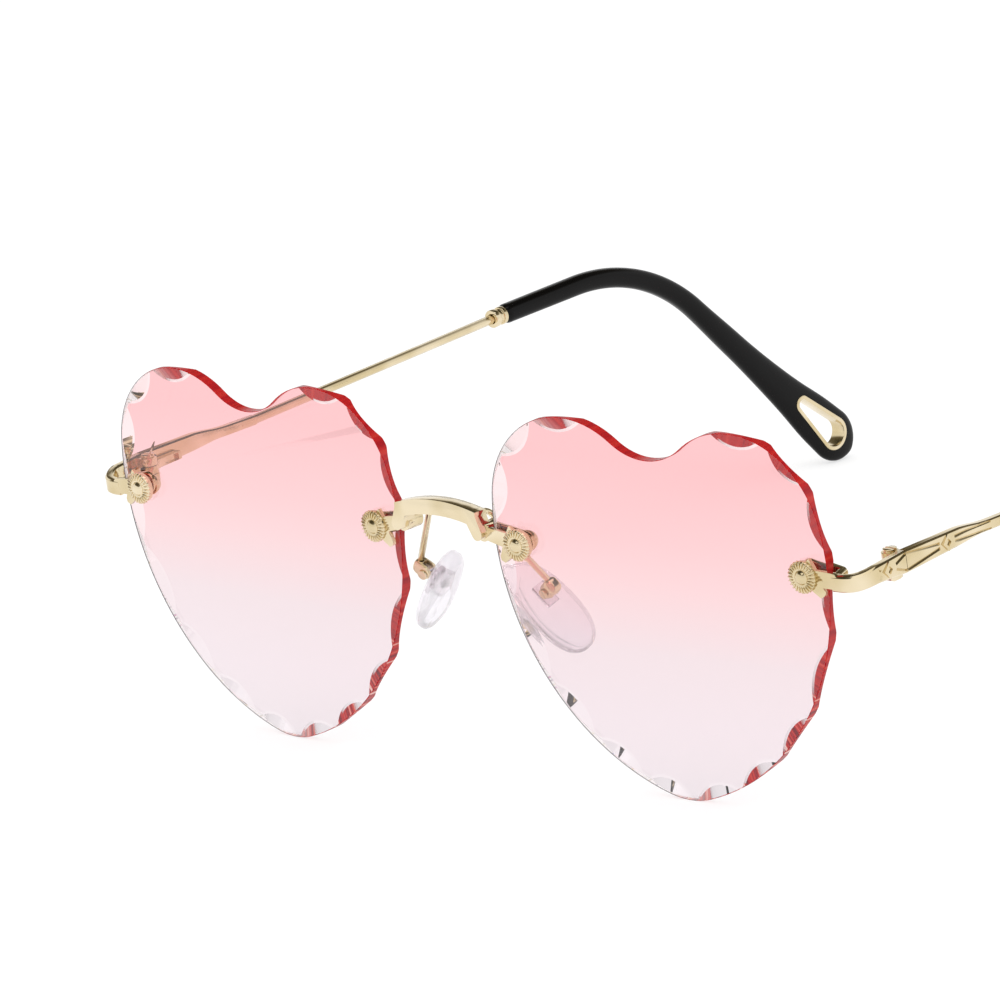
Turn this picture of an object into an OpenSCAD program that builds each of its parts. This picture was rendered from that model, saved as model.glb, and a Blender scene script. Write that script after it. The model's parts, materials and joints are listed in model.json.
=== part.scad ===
// Rimless heart shaped sunglasses with wave cut lenses and folding temples.
// X runs across the face towards the wearer's left, Y back along the temples, Z up from the table.

/* [Heart lens] */
// Radius of the two upper lobes
lobe_r = 14.1; // [13:0.1:15]
// Distance of a lobe's centre from the heart's middle line
lobe_x = 14.5; // [13.5:0.1:15.5]
// Height of the lobe centres above the lens centre
lobe_z = 11.8; // [10:0.1:13]
// Radius of the long side curves
side_r = 35.6; // [32:0.2:42]
// Radius of the rounded bottom
bottom_r = 12.7; // [9:0.1:15]
// Drop of the heart's bottom below the lens centre
heart_drop = 26.5; // [24:0.1:29]
// Height of the notch between the lobes above the lens centre
notch_z = 21; // [19:0.1:23]
// Thickness of the lens
lens_t = 1.6; // [1.4:0.1:2.2]
// Length of the uncut edge between two wave cuts
wave_gap = 1.2; // [0.6:0.1:2.4]
// Depth of a wave cut in the rear face, inside the straight line between its ends
wave_in = 1.5; // [1:0.1:2.2]
// Slope of a wave cut against the rear face, in degrees
wave_slope = 27; // [20:1:32]

/* [Front] */
// Gap between the two hearts at the nose
nose_gap = 18.2; // [14:0.2:24]
// Turn of each lens back towards the temple, in degrees
wrap = 3; // [0:0.5:6]
// Lean of the lenses, top forwards, in degrees
lean = 2.6; // [0:0.2:6]
// Height of the lens screws above the lens centre
screw_z = 7.35; // [6:0.1:9]
// Distance of the nose side screw from the heart's edge
inner_inset = 4.5; // [3.6:0.1:6]
// Distance of the temple side screw from the heart's edge
outer_inset = 3.8; // [3.6:0.1:6]

/* [Clips and screws] */
// Radius of the front plates round the lens screws
plate_r = 2.1; // [1.8:0.1:2.6]
// Thickness of the front plates
plate_t = 0.6; // [0.4:0.1:1]
// Radius of the rear plates round the lens screws
rear_r = 1.5; // [1.3:0.1:2.2]
// Thickness of the rear plates
rear_t = 0.5; // [0.4:0.1:1]
// Radius of the temple side posts that join front and rear plates past the lens edge
post_r = 0.75; // [0.6:0.05:1.2]
// Radius of the nose side posts
nose_post_r = 1.3; // [0.8:0.05:1.5]
// Gap between a post and the lens edge
edge_gap = 0.2; // [0.1:0.05:0.5]
// Radius of a lens screw's shank
screw_r = 0.7; // [0.5:0.05:0.9]
// Radial clearance round a screw's shank
screw_fit = 0.04; // [0.02:0.01:0.1]
// Radius of a rosette head
rosette_r = 2.05; // [1.7:0.05:2.5]
// Thickness of a rosette head at its rim
rosette_t = 0.5; // [0.4:0.05:0.8]
// Number of beads round a rosette head
beads = 20; // [12:1:24]
// Radius of a bead
bead_r = 0.2; // [0.12:0.01:0.22]
// Wall of the clear sleeve round a lens screw
sleeve_wall = 0.45; // [0.3:0.05:0.8]
// Thickness of the washer behind a rear plate
washer_t = 0.3; // [0.2:0.05:0.6]
// Radius of a washer
washer_r = 1.5; // [1.3:0.05:2]
// Radius of a domed nut
nut_r = 1.4; // [1.2:0.05:2]
// Length of a domed nut
nut_len = 1.4; // [1.2:0.1:3]

/* [Bridge] */
// Height of the bridge strap
strap_h = 2.1; // [1.6:0.1:3]
// Depth of the bridge strap from front to back
strap_t = 2.2; // [1.6:0.1:2.6]
// Distance of the bridge strap's face in front of the front plates
strap_ahead = 1.2; // [0:0.1:1.6]
// Rise of the middle of the strap above the lens screws
strap_lift = 4.25; // [3:0.1:6]
// Radius of the strap's arch
arch_r = 28; // [20:1:60]

/* [Nose pads] */
// Length of a nose pad
pad_len = 15; // [12:0.5:17]
// Width of a nose pad
pad_w = 7.4; // [6:0.2:9]
// Thickness of a nose pad
pad_t = 2.6; // [2:0.1:3.5]
// Distance of a pad's pivot from the middle of the face
pad_x = 12; // [11:0.1:14]
// Distance of a pad's pivot behind the lens centre
pad_y = 5.3; // [5:0.1:7]
// Height of a pad's pivot above the lens centre
pad_z = -0.7; // [-3:0.1:1]
// Flare of the pads, wider apart at the bottom, in degrees
pad_flare = 38; // [25:1:42]
// Lean of the pads, top forwards, in degrees
pad_lean = 15; // [0:1:20]
// Turn of the pads, wider apart at the back, in degrees
pad_splay = 6; // [0:1:15]
// Radius of the wire of a nose arm
arm_r = 0.45; // [0.35:0.05:0.7]

/* [Hinges] */
// Height of a hinge
hinge_h = 3.6; // [3:0.1:5]
// Radius of a hinge knuckle
knuckle_r = 1.25; // [1:0.05:1.6]
// Radius of a hinge screw's shank
pin_r = 0.55; // [0.4:0.05:0.7]
// Radial clearance of a hinge screw in the temple's knuckle
pin_fit = 0.04; // [0.02:0.01:0.1]
// Gap between knuckles, and at the seam between endpiece and temple
hinge_gap = 0.08; // [0.05:0.01:0.15]
// Distance of the hinge axis behind the lens centre
hinge_y = 10; // [8:0.2:14]
// Height of the hinge's middle above the lens centre
hinge_z = 7.3; // [6:0.1:9]
// Length of the leaf that is brazed to the temple
leaf_len = 5; // [4:0.2:7]

/* [Temples] */
// Distance of a temple's middle plane from the heart's outer edge
temple_out = 5.3; // [4.8:0.1:7]
// Rise of a temple towards the back, in degrees
temple_rise = 3.6; // [0:0.2:6]
// Thickness of an endpiece and of a temple
bar_t = 1.3; // [1:0.1:1.8]
// Height of an endpiece where it leaves the lens
bar_h = 2.2; // [1.8:0.1:2.6]
// Height of endpiece and temple at the seam
seam_h = 2.8; // [2.4:0.1:3.4]
// Length of the engraved panel of a temple
panel_len = 17; // [12:1:24]
// Height of the engraved panel at its back end
panel_h = 1.9; // [1.6:0.1:2.6]
// Length over which the panel narrows to the rod
neck_len = 6; // [3:0.5:10]
// Radius of the round rod
rod_r = 0.7; // [0.5:0.05:1]
// Length of a temple from its hinge axis to the tip
rod_end = 74.5; // [66:0.5:84]
// Outer radius of an endpiece's bend
bend_r = 4; // [3.2:0.1:4.6]

/* [Tips] */
// Length of the straight start of a tip
tip_start = 15.5; // [10:0.5:18]
// Radius of the tip's bend behind the ear
tip_bend_r = 30; // [26:1:36]
// Turn of the tip's bend, in degrees
tip_bend = 49.4; // [42:0.1:54]
// Length of the straight run below the bend
tip_run = 27; // [20:0.5:32]
// Radius of the reverse curve before the paddle
tip_sweep_r = 12; // [8:1:30]
// Turn of the reverse curve, in degrees
tip_sweep = 9; // [0:0.5:14]
// Length of the paddle up to the middle of its round end
paddle_len = 9.6; // [6:0.2:11]
// Height of the tip where it starts
tip_h = 2.9; // [2.6:0.1:4]
// Height of the tip after its bend
tip_low_h = 4.1; // [3:0.1:5]
// Radius of the paddle's round end
paddle_r = 4; // [3.6:0.1:5]
// Thickness of the tip where it starts
tip_t = 2.7; // [2.4:0.1:3.6]
// Thickness of the paddle
paddle_t = 2.4; // [2:0.1:3]
// Turn of the tip towards the head, in degrees
tip_toe = 2.6; // [0:0.2:5]

/* [Tip eye] */
// Inner radius of the eye's round end
eye_r = 2; // [1.6:0.1:2.4]
// Inner radius of the eye's narrow end
eye_point_r = 0.5; // [0.4:0.05:1]
// Distance between the centres of the eye's two ends
eye_len = 7.4; // [5:0.2:9]
// Wall of the lining of the eye
eye_wall = 0.5; // [0.3:0.05:0.8]

/* [Hidden] */
$fn = 48;

// Overrun of cuts past the faces that they open
over = 0.5;

// Heart outline: lobe, side and bottom circles touch each other from inside, the notch circle from outside
lobe_c = [lobe_x, lobe_z];
bottom_c = [0, bottom_r - heart_drop];
side_c = inner_meet(lobe_c, side_r - lobe_r, bottom_c, side_r - bottom_r);
notch_lift = notch_z - lobe_z;
notch_r = (lobe_x * lobe_x + notch_lift * notch_lift - lobe_r * lobe_r) / (2 * (lobe_r - notch_lift));
notch_c = [0, notch_z + notch_r];
heart_w = side_c[0] + side_r;
// Angles at which one arc hands over to the next
notch_end = heading(lobe_c - notch_c);
lobe_start = heading(notch_c - lobe_c);
lobe_end = heading(lobe_c - side_c);
side_end = heading(bottom_c - side_c);
down = -90;
// Lengths of the four arcs of half the outline
notch_arc = arc_len(notch_r, notch_end - down);
lobe_arc = arc_len(lobe_r, lobe_start - lobe_end);
side_arc = arc_len(side_r, lobe_end - side_end);
bottom_arc = arc_len(bottom_r, side_end - down);
half_outline = notch_arc + lobe_arc + side_arc + bottom_arc;
// Corners between the wave cuts, as shares of half the outline
wave_shares = [0.13, 0.237, 0.333, 0.438, 0.563, 0.692, 0.802, 0.904, 1];
waves = len(wave_shares) - 1;

// Tip curve, walked in even steps from the collar
bend_len = arc_len(tip_bend_r, tip_bend);
sweep_len = arc_len(tip_sweep_r, tip_sweep);
tip_knots = [0, tip_start, tip_start + bend_len, tip_start + bend_len + tip_run,
  tip_start + bend_len + tip_run + sweep_len, tip_start + bend_len + tip_run + sweep_len + paddle_len];
tip_total = tip_knots[5];
tip_steps = 36;
tip_step = tip_total / tip_steps;
tip_sides = 16;
tip_swell = 0.9;
tip_square = 0.8;
// Round end of the tip, closed with a small flat after this turn in degrees
cap_steps = 5;
cap_turn = 83.3;
core_len = 9;
tip_track = walk([0, 0], 0);
eye_at = tip_track[tip_steps];
eye_turn = tip_heading(tip_total);
eye_point_wall = eye_point_r + eye_wall;
eye_proud = 0.15;
tip_gap = 0.1;
collar_len = 2.4;
collar_r = 1.35;

// Places of the main groups
lens_x = nose_gap / 2 + heart_w * cos(wrap);
tip_drop = paddle_r - hinge_z - (rod_end + tip_gap) * sin(temple_rise) - eye_at[1];
lens_z = max(heart_drop * cos(lean), tip_drop);
inner_screw = [inner_inset - heart_w, screw_z];
outer_screw = [heart_w - outer_inset, screw_z];
post_reach = heart_w + edge_gap + post_r;
inner_post = [-heart_w - edge_gap - nose_post_r, screw_z + 0.3 * strap_lift];
outer_post = [post_reach, screw_z - 0.1 * bar_h];
pivot_x = knuckle_r + 0.1 * bar_t + bar_t / 2;
temple_x = lens_x + heart_w + temple_out;
hinge_at = [temple_x - pivot_x, hinge_y, lens_z + hinge_z];
tip_at = hinge_at + [pivot_x, 0, 0] + (rod_end + tip_gap) * [0, cos(temple_rise), sin(temple_rise)];
pad_at = [pad_x, pad_y, lens_z + pad_z];

// Sleeve, nut and rosette
sleeve_in = screw_r + screw_fit;
sleeve_out = sleeve_in + sleeve_wall;
lens_bore = sleeve_out + screw_fit;
nut_base = lens_t + rear_t + washer_t;
boss_r = 0.66 * rosette_r;
boss_t = 0.6 * rosette_t;
dome_r = 0.42 * rosette_r;
dome_lift = 0.7 * rosette_t;
bead_ring = 0.83 * rosette_r;
bead_turn = 360 / beads;
rosette_front = -plate_t - rosette_t - boss_t - dome_lift;

// Bridge strap
arch_z = lens_z + screw_z + strap_lift - arch_r;
leg_foot = lens_point([inner_post[0], -plate_t, inner_post[1]]);
leg_x = leg_foot[0] - strap_h / 2;
leg_top = [leg_x, arch_z + sqrt(arch_r * arch_r - leg_x * leg_x)];
strap_front = leg_foot[1] - strap_ahead;

// Pivot parts of a nose pad
pad_pivot_out = 2.7;
pad_pivot_up = 1.8;
box_wall = 0.55;
lug_t = 0.9;
lug_r = 0.75;
lug_fit = 0.08;
pad_pin_r = 0.4;
box_w = lug_t + 2 * lug_fit + 2 * box_wall;
box_h = 2.4;
box_back = 2.1;
insert_t = 0.7;
insert_h = 3.4;
insert_w = 2;
insert_fit = 0.03;
pad_face = pad_t / 2 - pad_pivot_out;

// Nose arm: straight back from the strap, round a bend, then straight into a socket in the pad box
arm_bend_r = 1.3;
arm_out = 2.6;
arm_root = [0.6 * nose_gap / 2, strap_front + strap_t, lens_z + screw_z + 0.78 * strap_lift];
arm_knee = arm_root + [0, arm_out, 0];
arm_foot = pad_at + turned([0.65 * box_back, 0, box_h / 4]);
arm_drop = arm_foot - arm_knee;
arm_turn = acos(arm_drop[1] / norm(arm_drop));
arm_tangent = arm_bend_r * tan(arm_turn / 2);
arm_side = heading([arm_drop[0], arm_drop[2]]);
arm_steps = 8;
arm_sides = 16;

// Endpiece in the hinge's frame
face_x = pivot_x + bar_t / 2;
bend_x = face_x - bend_r;
bend_y = lens_point([post_reach, -plate_t, screw_z])[1] - hinge_y + bend_r;
strap_start = lens_point([post_reach, 0, screw_z])[0] - hinge_at[0];
chamfer = 0.22;
stud = 1.5;
stud_proud = 0.25;
groove = 0.3;

// Knuckles
knuckle_h = (hinge_h - 2 * hinge_gap) / 3;
pin_bore = pin_r + pin_fit;
block_len = 3.4;
leaf_t = 1.1;
leaf_gap = 0.3;
slot_len = 2;
slot_h = 1.1;
pin_head_r = 0.95;
pin_head_t = 0.45;
driver_slot = 0.3;

// Origin: middle of the whole depth, from the foremost of strap and rosettes' domes to the ends of the tips
front_y = min(strap_front, lens_point([inner_screw[0], rosette_front + dome_r, screw_z])[1] - dome_r);
back_y = tip_at[1] + eye_at[0] * cos(tip_toe) + paddle_r;
middle_y = (front_y + back_y) / 2;

// Length of an arc of radius r over a turn in degrees
function arc_len(r, turn) = r * turn * PI / 180;

// Compass heading of a flat vector
function heading(v) = atan2(v[1], v[0]);

// Left hand meeting point of two circles round a and b
function inner_meet(a, ra, b, rb) =
  let (d = b - a, gap = norm(d), along = (ra * ra - rb * rb + gap * gap) / (2 * gap))
  let (across = sqrt(max(0, ra * ra - along * along)))
  a + d / gap * along + [d[1], -d[0]] / gap * across;

// Point on half the heart's outline, at the distance s from the notch
function outline_at(s) =
  s < notch_arc ? on_arc(notch_c, notch_r, down + turn_of(s, notch_r))
  : s < notch_arc + lobe_arc ? on_arc(lobe_c, lobe_r, lobe_start - turn_of(s - notch_arc, lobe_r))
  : s < half_outline - bottom_arc
    ? on_arc(side_c, side_r, lobe_end - turn_of(s - notch_arc - lobe_arc, side_r))
  : on_arc(bottom_c, bottom_r, down + turn_of(half_outline - s, bottom_r));
function turn_of(length, r) = length / r * 180 / PI;
function on_arc(c, r, a) = c + r * [cos(a), sin(a)];

// Place in the part of a point in the frame of the wearer's left lens
function lens_point(p) =
  let (y = p[1] * cos(lean) - p[2] * sin(lean), z = p[1] * sin(lean) + p[2] * cos(lean))
  [lens_x + p[0] * cos(wrap) - y * sin(wrap), p[0] * sin(wrap) + y * cos(wrap), lens_z + z];

// Direction in the part of a vector in the frame of the wearer's left nose pad
function turned(p) =
  let (x1 = p[0] * cos(pad_splay) + p[1] * sin(pad_splay))
  let (y1 = p[1] * cos(pad_splay) - p[0] * sin(pad_splay))
  let (x2 = x1 * cos(pad_flare) - p[2] * sin(pad_flare), z2 = x1 * sin(pad_flare) + p[2] * cos(pad_flare))
  [x2, y1 * cos(pad_lean) - z2 * sin(pad_lean), y1 * sin(pad_lean) + z2 * cos(pad_lean)];

// Heading of the tip's centre line at the distance s from the collar
function tip_heading(s) = temple_rise
  - tip_bend * limit((s - tip_knots[1]) / bend_len)
  + tip_sweep * limit((s - tip_knots[3]) / max(sweep_len, over));
function limit(share) = min(1, max(0, share));
function walk(p, i) = i > tip_steps ? []
  : let (a = tip_heading((i + 0.5) * tip_step))
    concat([p], walk(p + tip_step * [cos(a), sin(a)], i + 1));

// Corner points of a bar's section with broken edges, half t thick and half h high
function bar_section(t, h) = let (c = min(chamfer, t / 4, h / 4), x = t / 2, z = h / 2)
  [[x - c, z], [x, z - c], [x, c - z], [x - c, -z], [c - x, -z], [-x, c - z], [-x, z - c], [c - x, z]];

// Points of an oval section, squarer than an ellipse
function oval_section(t, h) = [for (i = [0:tip_sides - 1])
  let (a = -360 * i / tip_sides, c = cos(a), s = sin(a))
  [sign(c) * pow(abs(c), tip_square) * t / 2, sign(s) * pow(abs(s), tip_square) * h / 2]];

// A closed skin over rings of points
module skin(rings) {
  n = len(rings[0]);
  m = len(rings);
  sides = [for (i = [0:m - 2], j = [0:n - 1])
    each [[i * n + j, (i + 1) * n + j, i * n + (j + 1) % n],
      [i * n + (j + 1) % n, (i + 1) * n + j, (i + 1) * n + (j + 1) % n]]];
  first = [for (j = [0:n - 1]) j];
  last = [for (j = [n - 1:-1:0]) (m - 1) * n + j];
  polyhedron(points = [for (r = rings) each r], faces = concat(sides, [first, last]));
}

// Frames: each draws its children for the wearer's left side, side -1 mirrors them to the right
module side_of(side) {
  if (side > 0) translate([0, -middle_y, 0]) children();
  else mirror([1, 0, 0]) translate([0, -middle_y, 0]) children();
}
module on_lens() translate([lens_x, 0, lens_z]) rotate([lean, 0, wrap]) children();
module on_hinge() translate(hinge_at) rotate([temple_rise, 0, 0]) children();
module on_pad() translate(pad_at) rotate([pad_lean, 0, 0]) rotate([0, -pad_flare, 0])
  rotate([0, 0, -pad_splay]) children();
module on_tip() translate(tip_at) rotate([0, 0, tip_toe]) children();
// A flat outline seen from the front, made t thick from y back
module plate(y, t) translate([0, y + t, 0]) rotate([90, 0, 0]) linear_extrude(t) children();
// A flat outline seen from the wearer's left, made t thick about x
module slab(x, t) translate([x - t / 2, 0, 0]) rotate([90, 0, 90]) linear_extrude(t) children();
// A round bar along Y
module peg(at, y, r, len) translate([at[0], y, at[1]]) rotate([-90, 0, 0]) cylinder(r = r, h = len);

// Outline round two circles and their common tangents
module link(a, ra, b, rb) {
  d = norm(b - a);
  turn = acos((ra - rb) / d);
  way = heading(b - a);
  left = [cos(way + turn), sin(way + turn)];
  right = [cos(way - turn), sin(way - turn)];
  translate(a) circle(r = ra);
  translate(b) circle(r = rb);
  polygon([a + ra * left, a + ra * right, b + rb * right, b + rb * left]);
}

// Side sector of the heart, right of its middle line
module heart_side() {
  far = 1.6 * side_r;
  top = side_c[1] + (lobe_c[1] - side_c[1]) * side_c[0] / (side_c[0] - lobe_c[0]);
  intersection() {
    translate(side_c) circle(r = side_r);
    polygon([[0, top], side_c + far * [cos(lobe_end), sin(lobe_end)],
      side_c + far * [cos(side_end), sin(side_end)], bottom_c]);
  }
  translate(lobe_c) circle(r = lobe_r);
}

module heart() {
  difference() {
    union() {
      heart_side();
      mirror([1, 0]) heart_side();
      translate(bottom_c) circle(r = bottom_r);
      polygon([lobe_c, notch_c, [-lobe_c[0], lobe_c[1]], [0, 0]]);
    }
    translate(notch_c) circle(r = notch_r);
  }
}

// Grinding wheel of one wave cut, which opens the rear face between two points of its edge, a and b,
// and slopes out towards the front
module wave_wheel(a, b) {
  middle = (a + b) / 2;
  half = norm(b - a) / 2;
  sag = wave_in * sin(wave_slope);
  r = (half * half + sag * sag) / (2 * sag);
  run = 2 * (wave_in + lens_t);
  translate([middle[0], 0, middle[1]]) rotate([0, down - heading(b - a), 0])
    translate([r * sin(wave_slope) - wave_in, lens_t + r * cos(wave_slope), 0])
    rotate([0, 0, 90 - wave_slope]) rotate([-90, 0, 0]) cylinder(r = r, h = 2 * run, center = true);
}

module lens(side) {
  cuts = [for (i = [0:waves - 1]) [outline_at(half_outline * wave_shares[i] + wave_gap / 2),
    outline_at(half_outline * wave_shares[i + 1] - wave_gap / 2)]];
  color("pink") side_of(side) on_lens() difference() {
    plate(0, lens_t) heart();
    for (at = [inner_screw, outer_screw]) peg(at, -over, lens_bore, lens_t + 2 * over);
    for (cut = cuts) {
      wave_wheel(cut[0], cut[1]);
      mirror([1, 0, 0]) wave_wheel(cut[0], cut[1]);
    }
  }
}

// Star shaped front plate: disc, neck that ends at the post with the radius r,
// and two ears, the lower one blunt
module star(screw, post, r) {
  ear_shares = [[0, 0.7], [0.6, 1.2], [1.1, 0.3], [1.6, -0.9], [1.55, -1.15], [1.25, -1.3], [0.5, -0.8]];
  translate(screw) circle(r = plate_r);
  link(screw, 0.55 * plate_r, post, r);
  translate(screw) polygon([for (p = ear_shares) plate_r * [sign(post[0]) * p[0], p[1]]]);
}

// Front plate with its neck, post of radius r past the lens edge and rear plate round one lens screw
module clip(screw, post, r, neck_r) {
  difference() {
    union() {
      plate(-plate_t, plate_t) star(screw, post, neck_r);
      plate(lens_t, rear_t) link(screw, rear_r, post, r);
      peg(post, -plate_t, r, plate_t + lens_t + rear_t);
    }
    peg(screw, -plate_t - over, sleeve_in, plate_t + lens_t + rear_t + 2 * over);
  }
}

// Screw with a stepped head: rim with a ring of beads, boss and dome
module rosette_screw(at) {
  reach = lens_t + rear_t + washer_t + 0.6 * nut_len;
  peg(at, -plate_t - rosette_t, rosette_r, rosette_t);
  peg(at, -plate_t - rosette_t - boss_t, boss_r, boss_t + rosette_t);
  peg(at, -plate_t, screw_r, plate_t + reach);
  translate([at[0], rosette_front, at[1]]) intersection() {
    translate([0, dome_r, 0]) sphere(r = dome_r);
    rotate([-90, 0, 0]) cylinder(r = dome_r, h = dome_r);
  }
  translate([at[0], -plate_t - rosette_t, at[1]]) for (i = [0:beads - 1])
    rotate([0, bead_turn * i, 0]) translate([bead_ring, 0, 0]) sphere(r = bead_r, $fn = 16);
}

module lens_screw(side, at) color("gold") side_of(side) on_lens() rosette_screw(at);

module sleeve(side, at) {
  color("white") side_of(side) on_lens() difference() {
    peg(at, 0, sleeve_out, lens_t);
    peg(at, -over, sleeve_in, lens_t + 2 * over);
  }
}

module washer(side, at) {
  color("khaki") side_of(side) on_lens() difference() {
    peg(at, lens_t + rear_t, washer_r, washer_t);
    peg(at, lens_t + rear_t - over, sleeve_in, washer_t + 2 * over);
  }
}

module nut(side, at) {
  color("gold") side_of(side) on_lens() difference() {
    union() {
      peg(at, nut_base, nut_r, nut_len - 0.8 * nut_r);
      translate([at[0], nut_base + nut_len - nut_r, at[1]]) intersection() {
        sphere(r = nut_r);
        rotate([-90, 0, 0]) cylinder(r = nut_r, h = nut_r);
      }
    }
    peg(at, nut_base - over, sleeve_in, 0.6 * nut_len + over + screw_fit);
  }
}

// Half of the bridge strap's front outline, from the middle of the face to its leg on a post
module half_strap() {
  link(leg_top, strap_h / 2, [leg_foot[0], leg_foot[2]], 0.7 * nose_post_r);
  intersection() {
    translate([0, arch_z]) difference() {
      circle(r = arch_r + strap_h / 2, $fn = 96);
      circle(r = arch_r - strap_h / 2, $fn = 96);
    }
    translate([0, lens_z]) square([leg_foot[0], heart_drop]);
  }
}

module bridge() {
  color("gold") union() {
    translate([0, -middle_y, 0]) plate(strap_front, strap_t) {
      half_strap();
      mirror([1, 0]) half_strap();
    }
    for (side = [-1, 1]) side_of(side) on_lens() clip(inner_screw, inner_post, nose_post_r, 0.7 * nose_post_r);
  }
}

// Ring of the nose arm's wire round a point of its own plane, square to the heading a
function arm_ring(p, a, r) = [for (j = [0:arm_sides - 1]) let (t = -360 * j / arm_sides)
  [p[0] - r * cos(t) * sin(a), -p[1] - r * cos(t) * cos(a), r * sin(t)]];

// Wire in its own plane: straight, round the bend, straight; the plane is turned about the first straight
module arm_wire(r) {
  curve = [for (i = [0:arm_steps]) let (a = arm_turn * i / arm_steps)
    arm_ring([arm_out - arm_tangent + arm_bend_r * sin(a), arm_bend_r * (1 - cos(a))], a, r)];
  end = [arm_out + norm(arm_drop) * cos(arm_turn), norm(arm_drop) * sin(arm_turn)];
  translate(arm_root) rotate([0, -arm_side, 0]) rotate([0, 0, 90])
    skin(concat([arm_ring([0, 0], 0, r)], curve, [arm_ring(end, arm_turn, r)]));
}

module nose_arm(side) color("gold") side_of(side) arm_wire(arm_r);

// Small box that holds the pad's lug between two cheeks
module pad_box(side) {
  slot_w = lug_t + 2 * lug_fit;
  color("gold") side_of(side) difference() {
    on_pad() difference() {
      union() {
        translate([0, -box_w / 2, -box_h / 2]) cube([box_back, box_w, box_h]);
        translate([0, -box_w / 2, 0]) rotate([-90, 0, 0]) cylinder(r = box_h / 2, h = box_w);
      }
      translate([-box_h, -slot_w / 2, -box_h]) cube([box_h + lug_r + lug_fit, slot_w, 2 * box_h]);
      peg([0, 0], -box_w / 2 - over, pad_pin_r + insert_fit, box_w + 2 * over);
    }
    arm_wire(arm_r + insert_fit);
  }
}

module pad_screw(side) {
  color("gold") side_of(side) on_pad() {
    peg([0, 0], -box_w / 2 - insert_t / 2, 1.8 * pad_pin_r, insert_t / 2);
    peg([0, 0], -box_w / 2, pad_pin_r, box_w);
  }
}

// Lug with its eye, and the plate that sits in the pad's pocket
module pad_insert(side) {
  color("silver") side_of(side) on_pad() difference() {
    union() {
      peg([0, 0], -lug_t / 2, lug_r, lug_t);
      translate([pad_face - insert_t, -lug_t / 2, -0.8 * lug_r])
        cube([insert_t - pad_face, lug_t, 1.6 * lug_r]);
      translate([pad_face - insert_t, -insert_w / 2, -insert_h / 2]) cube([insert_t, insert_w, insert_h]);
    }
    peg([0, 0], -lug_t, pad_pin_r + pin_fit, 2 * lug_t);
  }
}

// Oval cushion: a round disc with a full edge, drawn out along Z
module nose_pad(side) {
  half = pad_t / 2;
  color("lavender") side_of(side) on_pad() difference() {
    translate([pad_face - half, 0, -pad_pivot_up]) rotate([0, 90, 0])
      scale([pad_len / pad_w, 1, 1]) rotate_extrude() {
        translate([0, -half]) square([pad_w / 2 - half, pad_t]);
        intersection() {
          translate([pad_w / 2 - half, 0]) circle(r = half);
          translate([0, -half]) square([pad_w / 2, pad_t]);
        }
      }
    translate([pad_face - insert_t - insert_fit, -insert_w / 2 - insert_fit, -insert_h / 2 - insert_fit])
      cube([insert_t + over, insert_w + 2 * insert_fit, insert_h + 2 * insert_fit]);
  }
}

// Raised diamond with a sunk square, on an outer face
module stud_at(y) {
  translate([face_x - over, y, 0]) rotate([45, 0, 0]) difference() {
    translate([0, -stud / 2, -stud / 2]) cube([over + stud_proud, stud, stud]);
    translate([over, -stud / 4, -stud / 4]) cube([over, stud / 2, stud / 2]);
  }
}

// Engraved line on an outer face between two points given as [y, z]
module engraved(a, b) {
  translate([face_x, a[0], a[1]]) rotate([heading(b - a), 0, 0]) rotate([0, 45, 0])
    translate([-groove / 2, 0, -groove / 2]) cube([groove, norm(b - a), groove]);
}

// Four lines that run from the corners of a panel to the stud
module engraving(front, front_h, back, back_h, middle) {
  edge = 0.72;
  for (s = [-1, 1]) {
    engraved([front, s * edge * front_h / 2], [middle - stud, s * groove]);
    engraved([middle + stud, s * groove], [back, s * edge * back_h / 2]);
  }
}

module endpiece(side) {
  straight = -bend_y - hinge_gap / 2;
  color("gold") side_of(side) {
    on_lens() clip(outer_screw, outer_post, post_r, bar_h / 2);
    on_hinge() difference() {
      union() {
        translate([bend_x, bend_y, 0]) rotate([0, 0, -90]) rotate_extrude(angle = 90)
          translate([bend_r - bar_t / 2, 0]) polygon(bar_section(bar_t, bar_h));
        translate([strap_start, bend_y - bend_r + bar_t / 2, 0]) skin([for (x = [0, bend_x - strap_start])
          [for (p = bar_section(bar_t, bar_h)) [x, -p[0], p[1]]]]);
        skin([for (y = [0, 1]) [for (p = bar_section(bar_t, y == 0 ? bar_h : seam_h))
          [pivot_x + p[0], bend_y + y * straight, p[1]]]]);
        stud_at(bend_y + straight / 3);
      }
      engraving(bend_y, bar_h, -hinge_gap, seam_h, bend_y + straight / 3);
    }
  }
}

// Knuckle of the hinge between two heights above the hinge's middle
module knuckle(low, high) translate([0, 0, low]) cylinder(r = knuckle_r, h = high - low);

module front_hinge(side) {
  web = pivot_x - bar_t / 2;
  color("darkkhaki") side_of(side) on_hinge() difference() {
    union() {
      knuckle(-hinge_h / 2, -knuckle_h / 2 - hinge_gap);
      knuckle(knuckle_h / 2 + hinge_gap, hinge_h / 2);
      translate([0, -block_len, -hinge_h / 2]) cube([web, block_len - hinge_gap / 2, hinge_h]);
    }
    translate([0, 0, -knuckle_h / 2 - hinge_gap])
      cylinder(r = web + over - hinge_gap, h = knuckle_h + 2 * hinge_gap);
    translate([0, 0, -hinge_h]) cylinder(r = pin_r + screw_fit, h = 2 * hinge_h);
  }
}

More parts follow.
